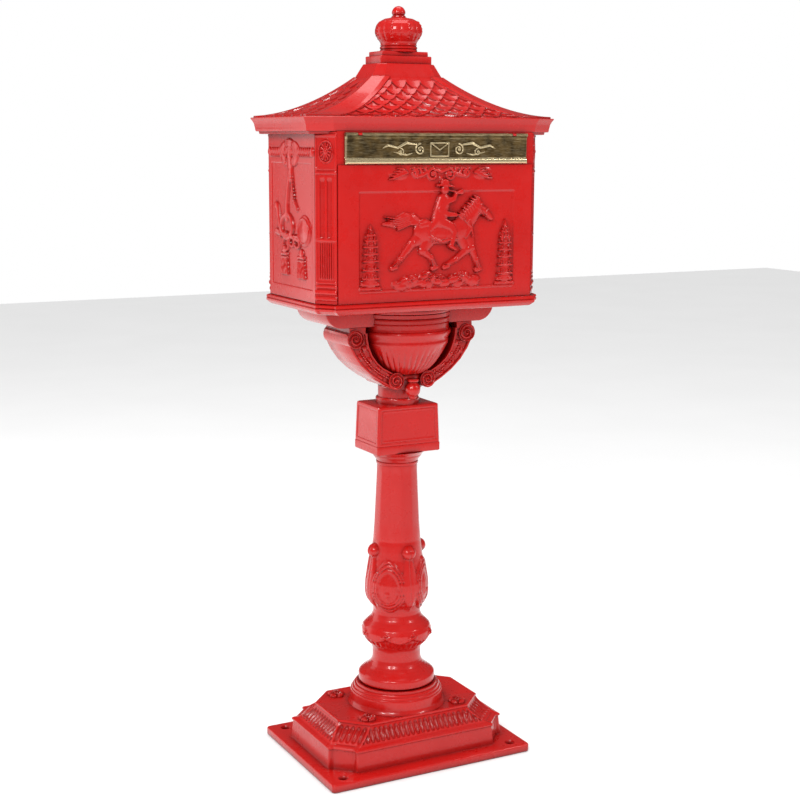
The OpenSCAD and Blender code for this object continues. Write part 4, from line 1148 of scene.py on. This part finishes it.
# %% Rear door
door = Relief(np.linspace(-118, 118, 240), np.linspace(665.5, 835.5, 174))
u, v = np.meshgrid(door.u, door.v)
edge = np.minimum(118 - np.abs(u), np.minimum(v - 665.5, 835.5 - v))
door.h -= 1.0 * (1 - smooth_step(edge, 0, 1.2))
inner = np.minimum(np.minimum(u + 110, 98 - u), np.minimum(v - 674, 827 - v))
door.h += 2.0 * np.exp(-((inner - 4.5) / 2.6) ** 4)
door.h -= 0.7 * np.exp(-((inner - 4.5) / 0.9) ** 2)
front = panel_points(door, (0, 85, 0), (-1, 0, 0), (0, 1, 0))
rear_door = add_slab("door_casting", front, (0, 1, 0), 3.0)
bore = turned([0, 20], [9.3, 9.3], 48)
bore = np.stack([86 + bore[..., 0], 70 + bore[..., 2], 750.5 - bore[..., 1]], -1)
cut_with(rear_door, add_stack("lock_cutter", bore))
finish(rear_door, "rear_door", body="door")

# %% [markdown]
# The studio is plain: a pale floor, a soft light overhead, a big soft light behind on the left
# that washes the left faces, a key light from the front left, and two small lights for glints.
# The surroundings are white, but dim to reflected rays, so that the glossy paint stays deep.

# %% Floor
def studio_floor():
    """Pale matt floor with a trace of mottling."""
    material, tree, shader, where = new_material("studio_floor")
    tree.links.new(blend_colours(tree, noise(tree, where, 3.0), (0.90, 0.90, 0.90),
                                 (0.86, 0.86, 0.86)),
                   shader.inputs["Base Color"])
    shader.inputs["Roughness"].default_value = 0.6
    mesh = bpy.data.meshes.new("floor")
    mesh.from_pydata([(-6, -6, 0), (6, -6, 0), (6, 6, 0), (-6, 6, 0)], [], [(0, 1, 2, 3)])
    floor = bpy.data.objects.new("floor", mesh)
    bpy.context.scene.collection.objects.link(floor)
    floor.data.materials.append(material)
    return floor


studio_floor()

# %% Lights, surroundings and camera
LOOK_LEFT, LOOK_DOWN, ROLL = 27.7, 10.0, 0.2      # camera angles in degrees
CAMERA_PLACE = (-0.9284, -1.7684, 0.8511)


def softbox(name, place, aim, wide, high, watts):
    """Rectangular light at a place, facing the aim point."""
    data = bpy.data.lights.new(name, "AREA")
    data.shape = "RECTANGLE"
    data.size, data.size_y, data.energy = wide, high, watts
    light = bpy.data.objects.new(name, data)
    light.location = place
    light.rotation_euler = (Vector(aim) - Vector(place)).to_track_quat("-Z", "Y").to_euler()
    bpy.context.scene.collection.objects.link(light)


softbox("overhead", (0.1, 0.2, 2.9), (0, 0, 0.4), 1.6, 1.6, 26)
softbox("small_left", (-1.7, -0.9, 1.7), (0, 0, 0.6), 0.22, 0.5, 12)
softbox("small_right", (1.5, -1.5, 1.8), (0, 0, 0.6), 0.22, 0.5, 9)
softbox("rear_left", (-1.9, 2.1, 1.0), (0, 0, 0.55), 1.6, 2.2, 15)
softbox("front_key", (-1.9, -2.3, 2.3), (0, 0, 0.6), 0.7, 0.7, 34)

world = bpy.data.worlds.new("studio")
bpy.context.scene.world = world
world.use_nodes = True
tree = world.node_tree
sky = tree.nodes["Background"]
ray = tree.nodes.new("ShaderNodeLightPath")
strength = spread(tree, ray.outputs["Is Glossy Ray"], 0.0, 1.0, 1.0, 0.10)
tree.links.new(strength, sky.inputs["Strength"])
sky.inputs["Color"].default_value = (1, 1, 1, 1)
bpy.context.scene.view_settings.view_transform = "Standard"

lens = bpy.data.cameras.new("camera")
lens.lens, lens.sensor_width, lens.shift_x = 66.27, 36.0, 0.0034
camera = bpy.data.objects.new("camera", lens)
aim = Euler((math.radians(90 - LOOK_DOWN), 0, math.radians(-LOOK_LEFT))).to_matrix().to_4x4()
camera.matrix_world = (Matrix.Translation(CAMERA_PLACE) @ aim
                       @ Matrix.Rotation(math.radians(ROLL), 4, "Z"))
bpy.context.scene.collection.objects.link(camera)
bpy.context.scene.camera = camera
print("camera at", tuple(round(c, 3) for c in camera.location))
